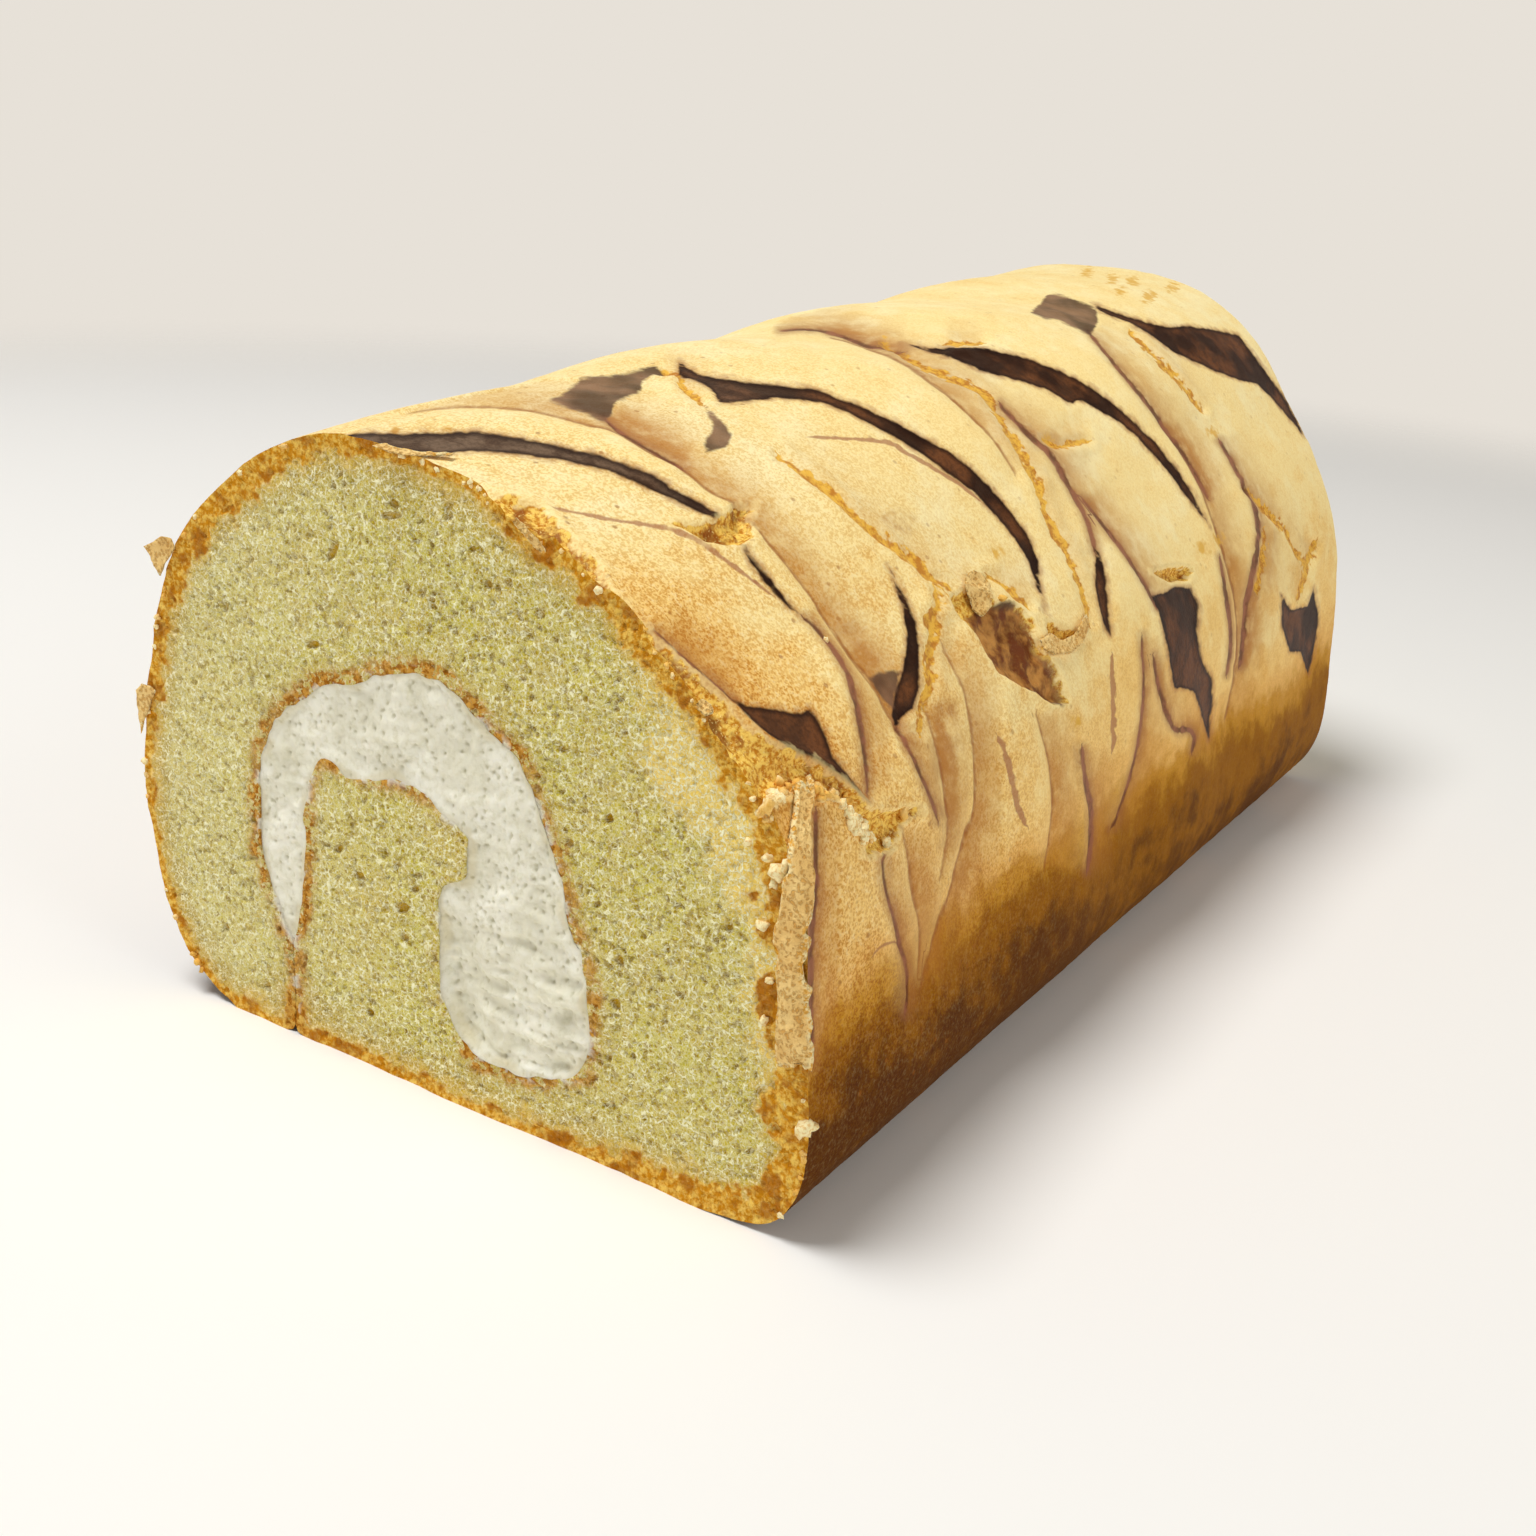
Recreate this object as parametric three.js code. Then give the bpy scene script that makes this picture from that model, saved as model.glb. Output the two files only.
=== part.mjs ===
// A cream-filled swiss roll cake, cut square at both ends and resting on its seam.
// Millimetres, +Z up. The roll runs along Y with its front cut end at -Y, and the
// origin is the middle of the footprint. One sheet of sponge starts at the core,
// turns once round the filling and ends at the seam underneath, so it is a single
// solid. The cream is a second solid that runs through the roll in the gap left
// between the turns.
import * as THREE from "three";

// Driving dimensions
const ROLL_LENGTH = 191;
const ROLL_WIDTH = 102;
const FRONT_HEIGHT = 79;

// The knife squashed the front end: towards the back the roll grows taller, and its
// right shoulder rounder. The shoulder's angle is measured up from the right.
const REAR_GROWTH = 0.13;
const GROWTH_POWER = 0.8;
const SHOULDER_PUSH = 5.4;
const SHOULDER_ANGLE = THREE.MathUtils.degToRad(62);
const SHOULDER_SPREAD = THREE.MathUtils.degToRad(56);

// Slow lumps of the rolled sheet
const LUMP_HEIGHT = 0.7;
const LUMP_LENGTH = 47;
const LUMP_TURN = 3;
const BASE_FADE = 18;

// Gaps that keep touching faces apart
const SEAM_GAP = 0.5;
const CREAM_GAP = 0.3;

// Mesh fineness
const SKIN_STEPS = 76;
const CHANNEL_STEPS = 72;
const SPONGE_STATIONS = 19;
const CREAM_STATIONS = 13;

// The seam underneath, left of the middle, and the top of its slit
const SEAM_X = -25;
const SEAM_TOP = 13.5;

// Sheet outside on the cut end: from the seam out to the left, over and back.
// X is a share of the half width and Z a share of the front height.
const SKIN = [
  [-0.7, 0.0], [-0.83, 0.045], [-0.94, 0.15], [-0.99, 0.26], [-1.0, 0.38],
  [-0.985, 0.51], [-0.935, 0.645], [-0.85, 0.775], [-0.7, 0.88], [-0.52, 0.957],
  [-0.31, 0.997], [-0.06, 0.985], [0.2, 0.94], [0.43, 0.868], [0.63, 0.77],
  [0.795, 0.675], [0.91, 0.56], [0.96, 0.43], [0.985, 0.28], [1.0, 0.15],
  [0.975, 0.07], [0.9, 0.015], [0.74, 0.0],
];

// Sheet inside: up the left of the core, over its torn tip, down its right side,
// under the cream, up the far wall, over and down the left wall.
const CHANNEL = [
  [-23.6, 18], [-22.8, 26], [-22.4, 33], [-19.8, 38.6], [-15.5, 37.6],
  [-10.5, 38.6], [-5.5, 39.4], [-1, 37.2], [3, 35], [2.6, 30.6],
  [-0.8, 28], [-0.6, 21], [-0.2, 13], [3.5, 8.6], [11, 7.4],
  [18.2, 9], [21.4, 14], [21, 21], [18, 29.5], [14.4, 38.4],
  [10.6, 45.6], [3.4, 50.6], [-4.4, 53], [-13.5, 50.4], [-22.4, 46.4],
  [-28.2, 41.4], [-30.3, 33], [-29.8, 22.5], [-27.2, 16.4],
];

function skinPoints() {
  const rim = SKIN.map(([x, z]) => new THREE.Vector2(x * ROLL_WIDTH / 2, z * FRONT_HEIGHT));
  const curve = new THREE.SplineCurve(rim).getPoints(SKIN_STEPS);
  const slitLeft = new THREE.Vector2(SEAM_X - SEAM_GAP / 2, 0);
  const slitRight = new THREE.Vector2(SEAM_X + SEAM_GAP / 2, 0);
  return [slitLeft, ...curve, slitRight];
}

function channelPoints() {
  const slitRight = new THREE.Vector2(SEAM_X + SEAM_GAP / 2, SEAM_TOP);
  const slitLeft = new THREE.Vector2(SEAM_X - SEAM_GAP / 2, SEAM_TOP);
  const walls = CHANNEL.map(([x, z]) => new THREE.Vector2(x, z));
  return new THREE.SplineCurve([slitRight, ...walls, slitLeft]).getPoints(CHANNEL_STEPS);
}

// Moves each point of a closed outline sideways, to its right for a positive gap.
function offset(points, gap) {
  const count = points.length;
  return points.map((point, i) => {
    const before = points[(i + count - 1) % count];
    const after = points[(i + 1) % count];
    const along = after.clone().sub(before).normalize();
    return new THREE.Vector2(point.x + along.y * gap, point.y - along.x * gap);
  });
}

function riseAt(depth) {
  return 1 + REAR_GROWTH * Math.pow(depth / ROLL_LENGTH, GROWTH_POWER);
}

function shoulderAt(angle, depth) {
  const away = Math.min(Math.abs(angle - SHOULDER_ANGLE) / SHOULDER_SPREAD, 1);
  return SHOULDER_PUSH * Math.cos(away * Math.PI / 2) ** 2 * Math.sin(depth / ROLL_LENGTH * Math.PI / 2);
}

// Lumps vanish at both cut ends and at the base.
function lumpAt(angle, z, depth) {
  const wave = Math.sin(depth / LUMP_LENGTH * 2 * Math.PI + LUMP_TURN * angle);
  const fade = THREE.MathUtils.smoothstep(z, 0, BASE_FADE);
  return LUMP_HEIGHT * wave * fade * Math.sin(depth / ROLL_LENGTH * Math.PI);
}

// A point of the front section's outside, at a depth behind the front cut end
function skinAt(point, depth) {
  const angle = Math.atan2(point.y - FRONT_HEIGHT / 2, point.x);
  const out = shoulderAt(angle, depth) + lumpAt(angle, point.y, depth);
  return new THREE.Vector2(
    point.x + out * Math.cos(angle),
    point.y * riseAt(depth) + out * Math.sin(angle),
  );
}

function channelAt(point, depth) {
  return new THREE.Vector2(point.x, point.y * riseAt(depth));
}

// Joins one outline per station into a closed solid with a flat cap at each end.
function loft(outlineAt, stations, inset) {
  const positions = [];
  const first = outlineAt(0);
  const count = first.length;
  for (let j = 0; j < stations; j += 1) {
    const share = j / (stations - 1);
    const y = THREE.MathUtils.lerp(inset, ROLL_LENGTH - inset, share) - ROLL_LENGTH / 2;
    for (const point of outlineAt(share * ROLL_LENGTH)) {
      positions.push(point.x, y, point.y);
    }
  }
  const faces = [];
  for (let j = 0; j < stations - 1; j += 1) {
    for (let i = 0; i < count; i += 1) {
      const a = j * count + i;
      const b = j * count + (i + 1) % count;
      faces.push(a, a + count, b, b, a + count, b + count);
    }
  }
  const last = (stations - 1) * count;
  for (const [a, b, c] of THREE.ShapeUtils.triangulateShape(first, [])) {
    faces.push(a, b, c);
  }
  for (const [a, b, c] of THREE.ShapeUtils.triangulateShape(outlineAt(ROLL_LENGTH), [])) {
    faces.push(last + a, last + c, last + b);
  }
  const geometry = new THREE.BufferGeometry();
  geometry.setAttribute("position", new THREE.Float32BufferAttribute(positions, 3));
  geometry.setIndex(faces);
  return geometry;
}

function spongeMesh() {
  const skin = skinPoints();
  const channel = channelPoints();
  const outlineAt = (depth) => [
    ...skin.map((point) => skinAt(point, depth)),
    ...channel.map((point) => channelAt(point, depth)),
  ].reverse();
  const material = new THREE.MeshStandardMaterial({ color: 0xd9a75f, roughness: 0.85, metalness: 0 });
  const mesh = new THREE.Mesh(loft(outlineAt, SPONGE_STATIONS, 0), material);
  mesh.name = "sponge";
  return mesh;
}

function creamMesh() {
  const wall = offset(channelPoints(), -CREAM_GAP);
  const outlineAt = (depth) => wall.map((point) => channelAt(point, depth));
  const material = new THREE.MeshStandardMaterial({ color: 0xf2efe6, roughness: 0.6, metalness: 0 });
  const mesh = new THREE.Mesh(loft(outlineAt, CREAM_STATIONS, 0), material);
  mesh.name = "cream";
  return mesh;
}

const swissRoll = new THREE.Group();
swissRoll.add(spongeMesh(), creamMesh());

export default swissRoll;
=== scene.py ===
import itertools
import math

import bmesh
import bpy
import numpy as np
from mathutils import Matrix, Vector
from mathutils.bvhtree import BVHTree
from mathutils.geometry import delaunay_2d_cdt


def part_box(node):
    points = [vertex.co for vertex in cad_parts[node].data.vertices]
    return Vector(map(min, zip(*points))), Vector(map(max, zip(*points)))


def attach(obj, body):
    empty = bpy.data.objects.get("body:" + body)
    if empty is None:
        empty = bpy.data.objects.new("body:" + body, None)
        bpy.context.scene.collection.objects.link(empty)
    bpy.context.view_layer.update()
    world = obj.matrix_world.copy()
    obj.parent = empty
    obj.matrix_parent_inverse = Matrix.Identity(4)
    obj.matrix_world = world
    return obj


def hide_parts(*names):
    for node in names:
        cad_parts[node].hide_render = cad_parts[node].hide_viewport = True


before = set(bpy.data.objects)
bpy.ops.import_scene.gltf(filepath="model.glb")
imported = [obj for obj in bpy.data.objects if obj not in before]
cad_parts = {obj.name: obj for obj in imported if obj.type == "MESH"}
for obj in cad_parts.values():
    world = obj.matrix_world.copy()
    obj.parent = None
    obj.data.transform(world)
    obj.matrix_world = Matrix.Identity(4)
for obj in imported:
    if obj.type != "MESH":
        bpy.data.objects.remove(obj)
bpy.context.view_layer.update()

# Sizes are in millimetres, and become metres as each mesh is made. The roll lies along Y, with its
# front cut at the low end. A "depth" is a distance behind the front cut.
MM = 0.001
sponge_low, sponge_high = (np.array(corner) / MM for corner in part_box("sponge"))
ROLL_LENGTH = sponge_high[1] - sponge_low[1]
FRONT = sponge_low[1]
HALF_WIDTH = 51.0
FRONT_HEIGHT = 79.0
REAR_GROWTH = 0.13
GROWTH_POWER = 0.8
SHOULDER_PUSH = 5.4
SHOULDER_ANGLE = math.radians(62)
SHOULDER_SPREAD = math.radians(56)
LUMP_HEIGHT = 0.7
LUMP_LENGTH = 47.0
LUMP_TURN = 3.0
BASE_FADE = 18.0
SEAM_X = -25.0
SEAM_TOP = 13.5
LIP_GAP = 0.12

# The outline of the front cut, in shares of the half width and of the height, from the left of the base
# over the top to the right of the base.
SKIN = [
    (-0.7, 0), (-0.83, 0.045), (-0.94, 0.15), (-0.99, 0.26), (-1, 0.38), (-0.985, 0.51),
    (-0.935, 0.645), (-0.85, 0.775), (-0.7, 0.88), (-0.52, 0.957), (-0.31, 0.997), (-0.06, 0.985),
    (0.2, 0.94), (0.43, 0.868), (0.63, 0.77), (0.795, 0.675), (0.91, 0.56), (0.96, 0.43),
    (0.985, 0.28), (1, 0.15), (0.975, 0.07), (0.9, 0.015), (0.74, 0),
]
# The edge of the cream at the front cut, from the right lip of the seam round to its left lip.
CHANNEL = [
    (-24.75, 13.5), (-23.6, 18), (-22.8, 26), (-22.4, 33), (-19.8, 38.6), (-15.5, 37.6),
    (-10.5, 38.6), (-5.5, 39.4), (-1, 37.2), (3, 35), (2.6, 30.6), (-0.8, 28), (-0.6, 21),
    (-0.2, 13), (3.5, 8.6), (11, 7.4), (18.2, 9), (21.4, 14), (21, 21), (18, 29.5), (14.4, 38.4),
    (10.6, 45.6), (3.4, 50.6), (-4.4, 53), (-13.5, 50.4), (-22.4, 46.4), (-28.2, 41.4),
    (-30.3, 33), (-29.8, 22.5), (-27.2, 16.4), (-25.25, 13.5),
]

CAMERA_PLACE = (131.1, -245.2, 119.8)
CAMERA_AZIMUTH = math.radians(30.589)
CAMERA_ELEVATION = math.radians(20.624)
CAMERA_ROLL = math.radians(4.42)
CAMERA_LENS = 43.23
SENSOR = 36.0
IMAGE_SIDE = 1536

# ---------------------------------------------------------------------------------------------------------
# Marks in the skin, in pixels of the 1536 x 1536 picture. They are laid on the skin that the camera sees.
# A streak or patch is an outline, and a line has its half width in pixels before its points.

DARK_STREAKS = [
    [(338, 432), (390, 431), (433, 431), (480, 431), (537, 440), (600, 456), (646, 474), (697, 502),
     (721, 517), (714, 521), (673, 500), (615, 474), (571, 461), (519, 453), (468, 450), (437, 454),
     (376, 446), (349, 439)],
    [(678, 358), (699, 370), (722, 377), (756, 382), (816, 388), (866, 407), (896, 421), (923, 437),
     (950, 450), (976, 471), (994, 489), (1016, 517), (1030, 539), (1039, 560), (1045, 606), (1049, 616),
     (1042, 595), (1030, 562), (1014, 537), (976, 492), (932, 460), (905, 442), (851, 413), (825, 402),
     (780, 397), (732, 402), (719, 400), (712, 388), (704, 381), (679, 371)],
    [(901, 338), (932, 344), (991, 348), (1021, 355), (1061, 370), (1092, 387), (1122, 411), (1153, 440),
     (1176, 470), (1194, 497), (1211, 528), (1184, 495), (1161, 464), (1138, 438), (1119, 422),
     (1080, 399), (1072, 404), (1046, 388), (1021, 380), (994, 371), (967, 362), (941, 351)],
    [(731, 696), (749, 705), (777, 708), (801, 713), (809, 707), (820, 724), (827, 739), (833, 757),
     (848, 776), (870, 803), (840, 777), (816, 760), (790, 749), (766, 734), (746, 714)],
    [(888, 565), (899, 584), (908, 602), (917, 625), (920, 645), (920, 690), (917, 707), (906, 716),
     (902, 728), (897, 712), (900, 690), (906, 668), (908, 636), (903, 608)],
    [(1092, 303), (1130, 316), (1168, 326), (1187, 325), (1214, 329), (1240, 335), (1262, 365),
     (1287, 400), (1306, 438), (1275, 401), (1258, 384), (1240, 380), (1214, 370), (1176, 351),
     (1153, 334), (1128, 321), (1100, 311)],
    [(1153, 595), (1166, 592), (1176, 586), (1192, 588), (1199, 606), (1197, 632), (1202, 661),
     (1212, 678), (1214, 703), (1212, 742), (1203, 712), (1196, 692), (1184, 688), (1177, 690),
     (1168, 645), (1158, 607)],
    [(1096, 548), (1101, 554), (1107, 580), (1110, 607), (1112, 637), (1106, 628), (1101, 612),
     (1097, 585)],
    [(1283, 594), (1292, 610), (1308, 606), (1313, 586), (1320, 615), (1316, 642), (1309, 676),
     (1301, 652), (1290, 652), (1283, 627)],
    [(736, 538), (751, 555), (769, 577), (790, 604), (806, 619), (788, 608), (765, 583), (748, 560)],
]
MAUVE_PATCHES = [
    [(1030, 312), (1040, 304), (1046, 293), (1061, 295), (1080, 302), (1096, 308), (1098, 322), (1090, 335),
     (1076, 328), (1058, 320), (1044, 318)],
    [(973, 613), (998, 602), (1014, 604), (1028, 618), (1034, 629), (1042, 649), (1056, 671), (1067, 699),
     (1064, 707), (1042, 696), (1020, 682), (1000, 668), (989, 649), (981, 629)],
    [(549, 397), (570, 386), (580, 377), (615, 375), (633, 371), (655, 365), (668, 372), (642, 379),
     (641, 389), (615, 399), (611, 411), (606, 416), (581, 407), (562, 401)],
    [(702, 401), (714, 413), (726, 423), (732, 436), (727, 445), (706, 450), (706, 438), (714, 428),
     (711, 418)],
    [(876, 674), (886, 668), (904, 668), (901, 690), (898, 708), (888, 694)],
]
TORN_PATCHES = [
    [(670, 522), (700, 526), (718, 519), (732, 512), (735, 502), (762, 502), (751, 511), (752, 522),
     (758, 534), (738, 545), (722, 545), (704, 540), (689, 531)],
    [(851, 807), (862, 826), (871, 843), (862, 856), (890, 849), (900, 836), (903, 821), (918, 813),
     (916, 806), (893, 812), (872, 809)],
    [(951, 599), (963, 590), (985, 592), (1000, 604), (1019, 606), (1030, 617), (1038, 634),
     (1047, 654), (1059, 675), (1070, 702), (1054, 704), (1036, 691), (1019, 685), (1001, 673),
     (990, 655), (979, 635), (963, 617)],
    [(1047, 620), (1061, 626), (1078, 634), (1081, 645), (1067, 650), (1049, 637)],
    [(1153, 571), (1176, 566), (1192, 569), (1188, 580), (1170, 582)],
    [(744, 722), (768, 742), (798, 752), (820, 763), (840, 778), (859, 798), (870, 809), (852, 812),
     (838, 797), (812, 785), (795, 790), (770, 806), (735, 760), (700, 700), (640, 625), (600, 580),
     (545, 528), (470, 492), (394, 462), (416, 466), (461, 481), (494, 493), (542, 505), (569, 536),
     (600, 567), (618, 612), (647, 630), (681, 663), (712, 691)],
    [(512, 503), (530, 500), (548, 512), (553, 540), (538, 536), (520, 522)],
]
DARK_LINES = [
    # The first line is a painted shadow that the folded strip casts along its right edge.
    (2.4, [(817, 812), (817, 873), (816, 900), (813, 924), (811, 960), (812, 1000), (812, 1030),
           (812, 1066)]),
    (2.0, [(805, 618), (820, 633), (840, 664), (850, 687), (861, 729), (866, 757), (869, 792)]),
    (1.3, [(655, 631), (681, 655), (707, 677), (733, 698)]),
    (1.3, [(606, 413), (620, 425), (656, 446), (686, 463)]),
    (1.6, [(1089, 331), (1113, 361), (1147, 402), (1181, 444), (1196, 467), (1212, 496)]),
    (2.0, [(1003, 401), (1030, 430), (1050, 453), (1064, 474), (1084, 513), (1096, 550)]),
    (1.5, [(1085, 497), (1106, 525), (1140, 576), (1158, 607)]),
    (1.7, [(1221, 440), (1241, 476), (1258, 522), (1253, 584), (1248, 646), (1245, 667)]),
    (1.7, [(1220, 557), (1225, 598), (1229, 636), (1227, 675)]),
    (2.0, [(1083, 748), (1086, 780), (1091, 809), (1091, 845), (1088, 872)]),
    (1.6, [(1156, 656), (1162, 690), (1174, 728), (1187, 729), (1195, 736), (1193, 752)]),
    (1.4, [(883, 853), (885, 884), (895, 923), (905, 962), (910, 991), (907, 1015)]),
    (1.2, [(1143, 636), (1143, 694), (1135, 761), (1114, 828)]),
    (1.2, [(780, 330), (816, 328), (842, 332), (869, 341), (905, 345)]),
    (1.3, [(902, 724), (911, 752), (929, 797), (936, 820)]),
]
PINK_LINES = [
    (2.2, [(550, 506), (606, 517), (664, 527), (689, 537), (714, 551), (739, 569), (772, 595)]),
    (2.0, [(810, 435), (842, 437), (887, 441), (905, 451), (932, 466), (959, 482), (982, 501)]),
    (3.0, [(1002, 736), (1011, 773), (1019, 809), (1026, 826)]),
    (1.5, [(873, 954), (881, 945), (895, 942), (902, 950)]),
    (2.5, [(1112, 656), (1113, 713), (1112, 751)]),
]
FOLDS = [
    (1.0, [(1040, 712), (1052, 760), (1056, 810), (1048, 870)]),
    (1.0, [(930, 706), (944, 760), (950, 820), (944, 880)]),
    (1.3, [(404, 408), (461, 402), (516, 404), (554, 411), (590, 421), (620, 431), (648, 448),
           (681, 463), (714, 489), (737, 502), (777, 546), (805, 581), (831, 618), (864, 668),
           (885, 696), (900, 726)]),
    (1.3, [(830, 335), (869, 346), (905, 362), (932, 380), (959, 401), (994, 437), (1017, 473)]),
    (1.3, [(840, 627), (858, 654), (876, 675), (886, 699), (902, 729)]),
    (1.3, [(947, 641), (963, 675), (972, 707), (977, 743), (979, 800), (970, 840), (958, 879),
           (946, 918), (936, 954), (927, 991)]),
    (1.2, [(904, 826), (912, 860), (917, 894), (924, 930), (924, 979)]),
    (1.2, [(1165, 424), (1200, 480), (1222, 540), (1238, 600), (1240, 660), (1228, 720)]),
]
GOLD_CRACKS = [
    (2.6, [(780, 453), (807, 473), (834, 494), (851, 510), (880, 535), (897, 547), (911, 557),
           (922, 565), (929, 577), (942, 579), (954, 591)]),
    (2.8, [(936, 591), (940, 604), (931, 618), (936, 631), (931, 663), (933, 681), (927, 699),
           (923, 731)]),
    (2.0, [(887, 339), (905, 350), (932, 364), (969, 380), (987, 392), (998, 409), (1012, 432),
           (1026, 457), (1039, 487), (1047, 516), (1056, 534), (1070, 556), (1080, 580), (1087, 600),
           (1091, 624)]),
    (1.8, [(663, 370), (678, 373), (684, 385), (702, 401)]),
    (1.6, [(1131, 330), (1161, 361), (1181, 382), (1204, 410)]),
    (1.8, [(1246, 486), (1260, 501), (1270, 512), (1287, 530), (1293, 541), (1305, 561)]),
    (1.6, [(1266, 530), (1266, 553), (1262, 591)]),
    (1.8, [(990, 574), (1008, 586), (1019, 597), (1029, 607)]),
    (1.6, [(1047, 436), (1061, 444), (1076, 441), (1089, 441)]),
    (1.4, [(946, 341), (984, 341)]),
    (1.4, [(1300, 600), (1310, 560), (1318, 540)]),
]
# Each spot is a place and a radius in pixels.
GOLD_SPOTS = [
    (395, 430, 3), (447, 429, 3), (884, 337, 4), (987, 394, 6), (1215, 432, 4), (1219, 540, 6),
    (998, 553, 5), (1051, 439, 4), (1087, 272, 5), (1112, 279, 5), (1132, 281, 5), (1150, 297, 6),
    (1173, 287, 5), (1077, 720, 4), (826, 640, 3), (1202, 549, 5), (1120, 292, 4),
]
STAINS = [
    [(939, 700), (955, 700), (960, 760), (957, 845), (940, 845), (934, 770)],
    [(887, 516), (900, 511), (914, 519), (908, 531), (892, 527)],
]


# ---------------------------------------------------------------------------------------------------------
# Numbers


def hashed(cells, seed):
    """A random number from 0 to 1 for each cell of a lattice."""
    mask = np.uint64(0xFFFFFFFF)
    mixed = np.full(cells.shape[:-1], seed * 7919 + 17, np.uint64)
    for axis in range(cells.shape[-1]):
        mixed ^= cells[..., axis].astype(np.int64).view(np.uint64) & mask
        mixed = (mixed * np.uint64(0x9E3779B1)) & mask
        mixed ^= mixed >> np.uint64(15)
        mixed = (mixed * np.uint64(0x85EBCA6B)) & mask
        mixed ^= mixed >> np.uint64(13)
    return mixed.astype(float) / 2**32


def noise(places, size, seed):
    """Smooth noise from -1 to 1, with swells of about that size."""
    scaled = places / size
    cell = np.floor(scaled).astype(np.int64)
    share = scaled - cell
    share = share * share * share * (share * (share * 6 - 15) + 10)
    total = np.zeros(len(places))
    for corner in itertools.product((0, 1), repeat=places.shape[1]):
        weight = np.prod(np.where(corner, share, 1 - share), axis=1)
        total += weight * hashed(cell + np.array(corner), seed)
    return total * 2 - 1


def layered_noise(places, size, seed, layers=3):
    """Noise with finer, weaker noise on top."""
    return sum(noise(places, size / 2**k, seed + k) / 2**k for k in range(layers)) / 1.6


def bubbles(places, size, seed):
    """Distances to the nearest two of some scattered points, in cells, and the nearest's random number."""
    scaled = places / size
    cell = np.floor(scaled).astype(np.int64)
    best = np.full(len(places), 9.0)
    second = np.full(len(places), 9.0)
    tag = np.zeros(len(places))
    for offset in itertools.product((-1, 0, 1), repeat=places.shape[1]):
        neighbour = cell + np.array(offset)
        centre = neighbour + np.stack(
            [hashed(neighbour, seed + 31 * k) for k in range(places.shape[1])], axis=1
        )
        away = np.linalg.norm(scaled - centre, axis=1)
        tag = np.where(away < best, hashed(neighbour, seed + 977), tag)
        second = np.minimum(second, np.maximum(away, best))
        best = np.minimum(best, away)
    return best, second, tag


def smooth_step(value, low, high):
    share = np.clip((value - low) / (high - low), 0, 1)
    return share * share * (3 - 2 * share)


def spline(points, count):
    """A smooth line through some points, with that many pieces, as a Catmull-Rom spline."""
    points = np.array(points, float)
    last = len(points) - 1
    where = np.linspace(0, last, count + 1)
    index = np.minimum(where.astype(int), last - 1)
    share = (where - index)[:, None]
    before, start = points[np.maximum(index - 1, 0)], points[index]
    end, after = points[index + 1], points[np.minimum(index + 2, last)]
    slope_in, slope_out = (end - before) / 2, (after - start) / 2
    cubic = 2 * start - 2 * end + slope_in + slope_out
    square = -3 * start + 3 * end - 2 * slope_in - slope_out
    return cubic * share**3 + square * share**2 + slope_in * share + start


def arc_lengths(line):
    """How far along a line each of its points is."""
    return np.r_[0, np.cumsum(np.linalg.norm(np.diff(line, axis=0), axis=1))]


def spaced(line, step):
    """The same line with its points a step apart, and both ends kept."""
    lengths = arc_lengths(line)
    count = max(1, round(lengths[-1] / step))
    where = np.linspace(0, lengths[-1], count + 1)
    return np.stack([np.interp(where, lengths, line[:, k]) for k in (0, 1)], axis=1)


def nearest_on(places, line):
    """For each place, its distance to a line, its side of it, and how far along it the nearest point is."""
    start, edge = line[:-1], np.diff(line, axis=0)
    long = np.maximum((edge**2).sum(1), 1e-9)
    best = np.full(len(places), np.inf)
    side = np.ones(len(places))
    along = np.zeros(len(places))
    for k in range(len(start)):
        gap = places - start[k]
        share = np.clip(gap @ edge[k] / long[k], 0, 1)
        gap = gap - share[:, None] * edge[k]
        away = np.hypot(gap[:, 0], gap[:, 1])
        nearer = away < best
        turn = edge[k, 0] * gap[:, 1] - edge[k, 1] * gap[:, 0]
        side = np.where(nearer, np.where(turn < 0, -1, 1), side)
        along = np.where(nearer, (k + share) / len(start), along)
        best = np.minimum(best, away)
    return best, side, along


def grid_faces(columns, rows):
    """The four-sided faces of points that are numbered column by column."""
    index = np.arange(columns * rows).reshape(columns, rows)
    faces = np.stack([index[:-1, :-1], index[1:, :-1], index[1:, 1:], index[:-1, 1:]], axis=2)
    return faces.reshape(-1, 4)


def outline_distance(places, outline):
    """Distance to a closed outline, negative inside it."""
    closed = np.vstack([outline, outline[:1]])
    away = nearest_on(places, closed)[0]
    inside = np.zeros(len(places), bool)
    for (x0, y0), (x1, y1) in zip(closed[:-1], closed[1:]):
        if y0 != y1:
            crossing = (x1 - x0) * (places[:, 1] - y0) / (y1 - y0) + x0
            inside ^= ((y0 > places[:, 1]) != (y1 > places[:, 1])) & (places[:, 0] < crossing)
    return np.where(inside, -away, away)


# ---------------------------------------------------------------------------------------------------------
# The roll's form


def rise(depth):
    return 1 + REAR_GROWTH * (np.clip(depth, 0, ROLL_LENGTH) / ROLL_LENGTH) ** GROWTH_POWER


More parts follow.
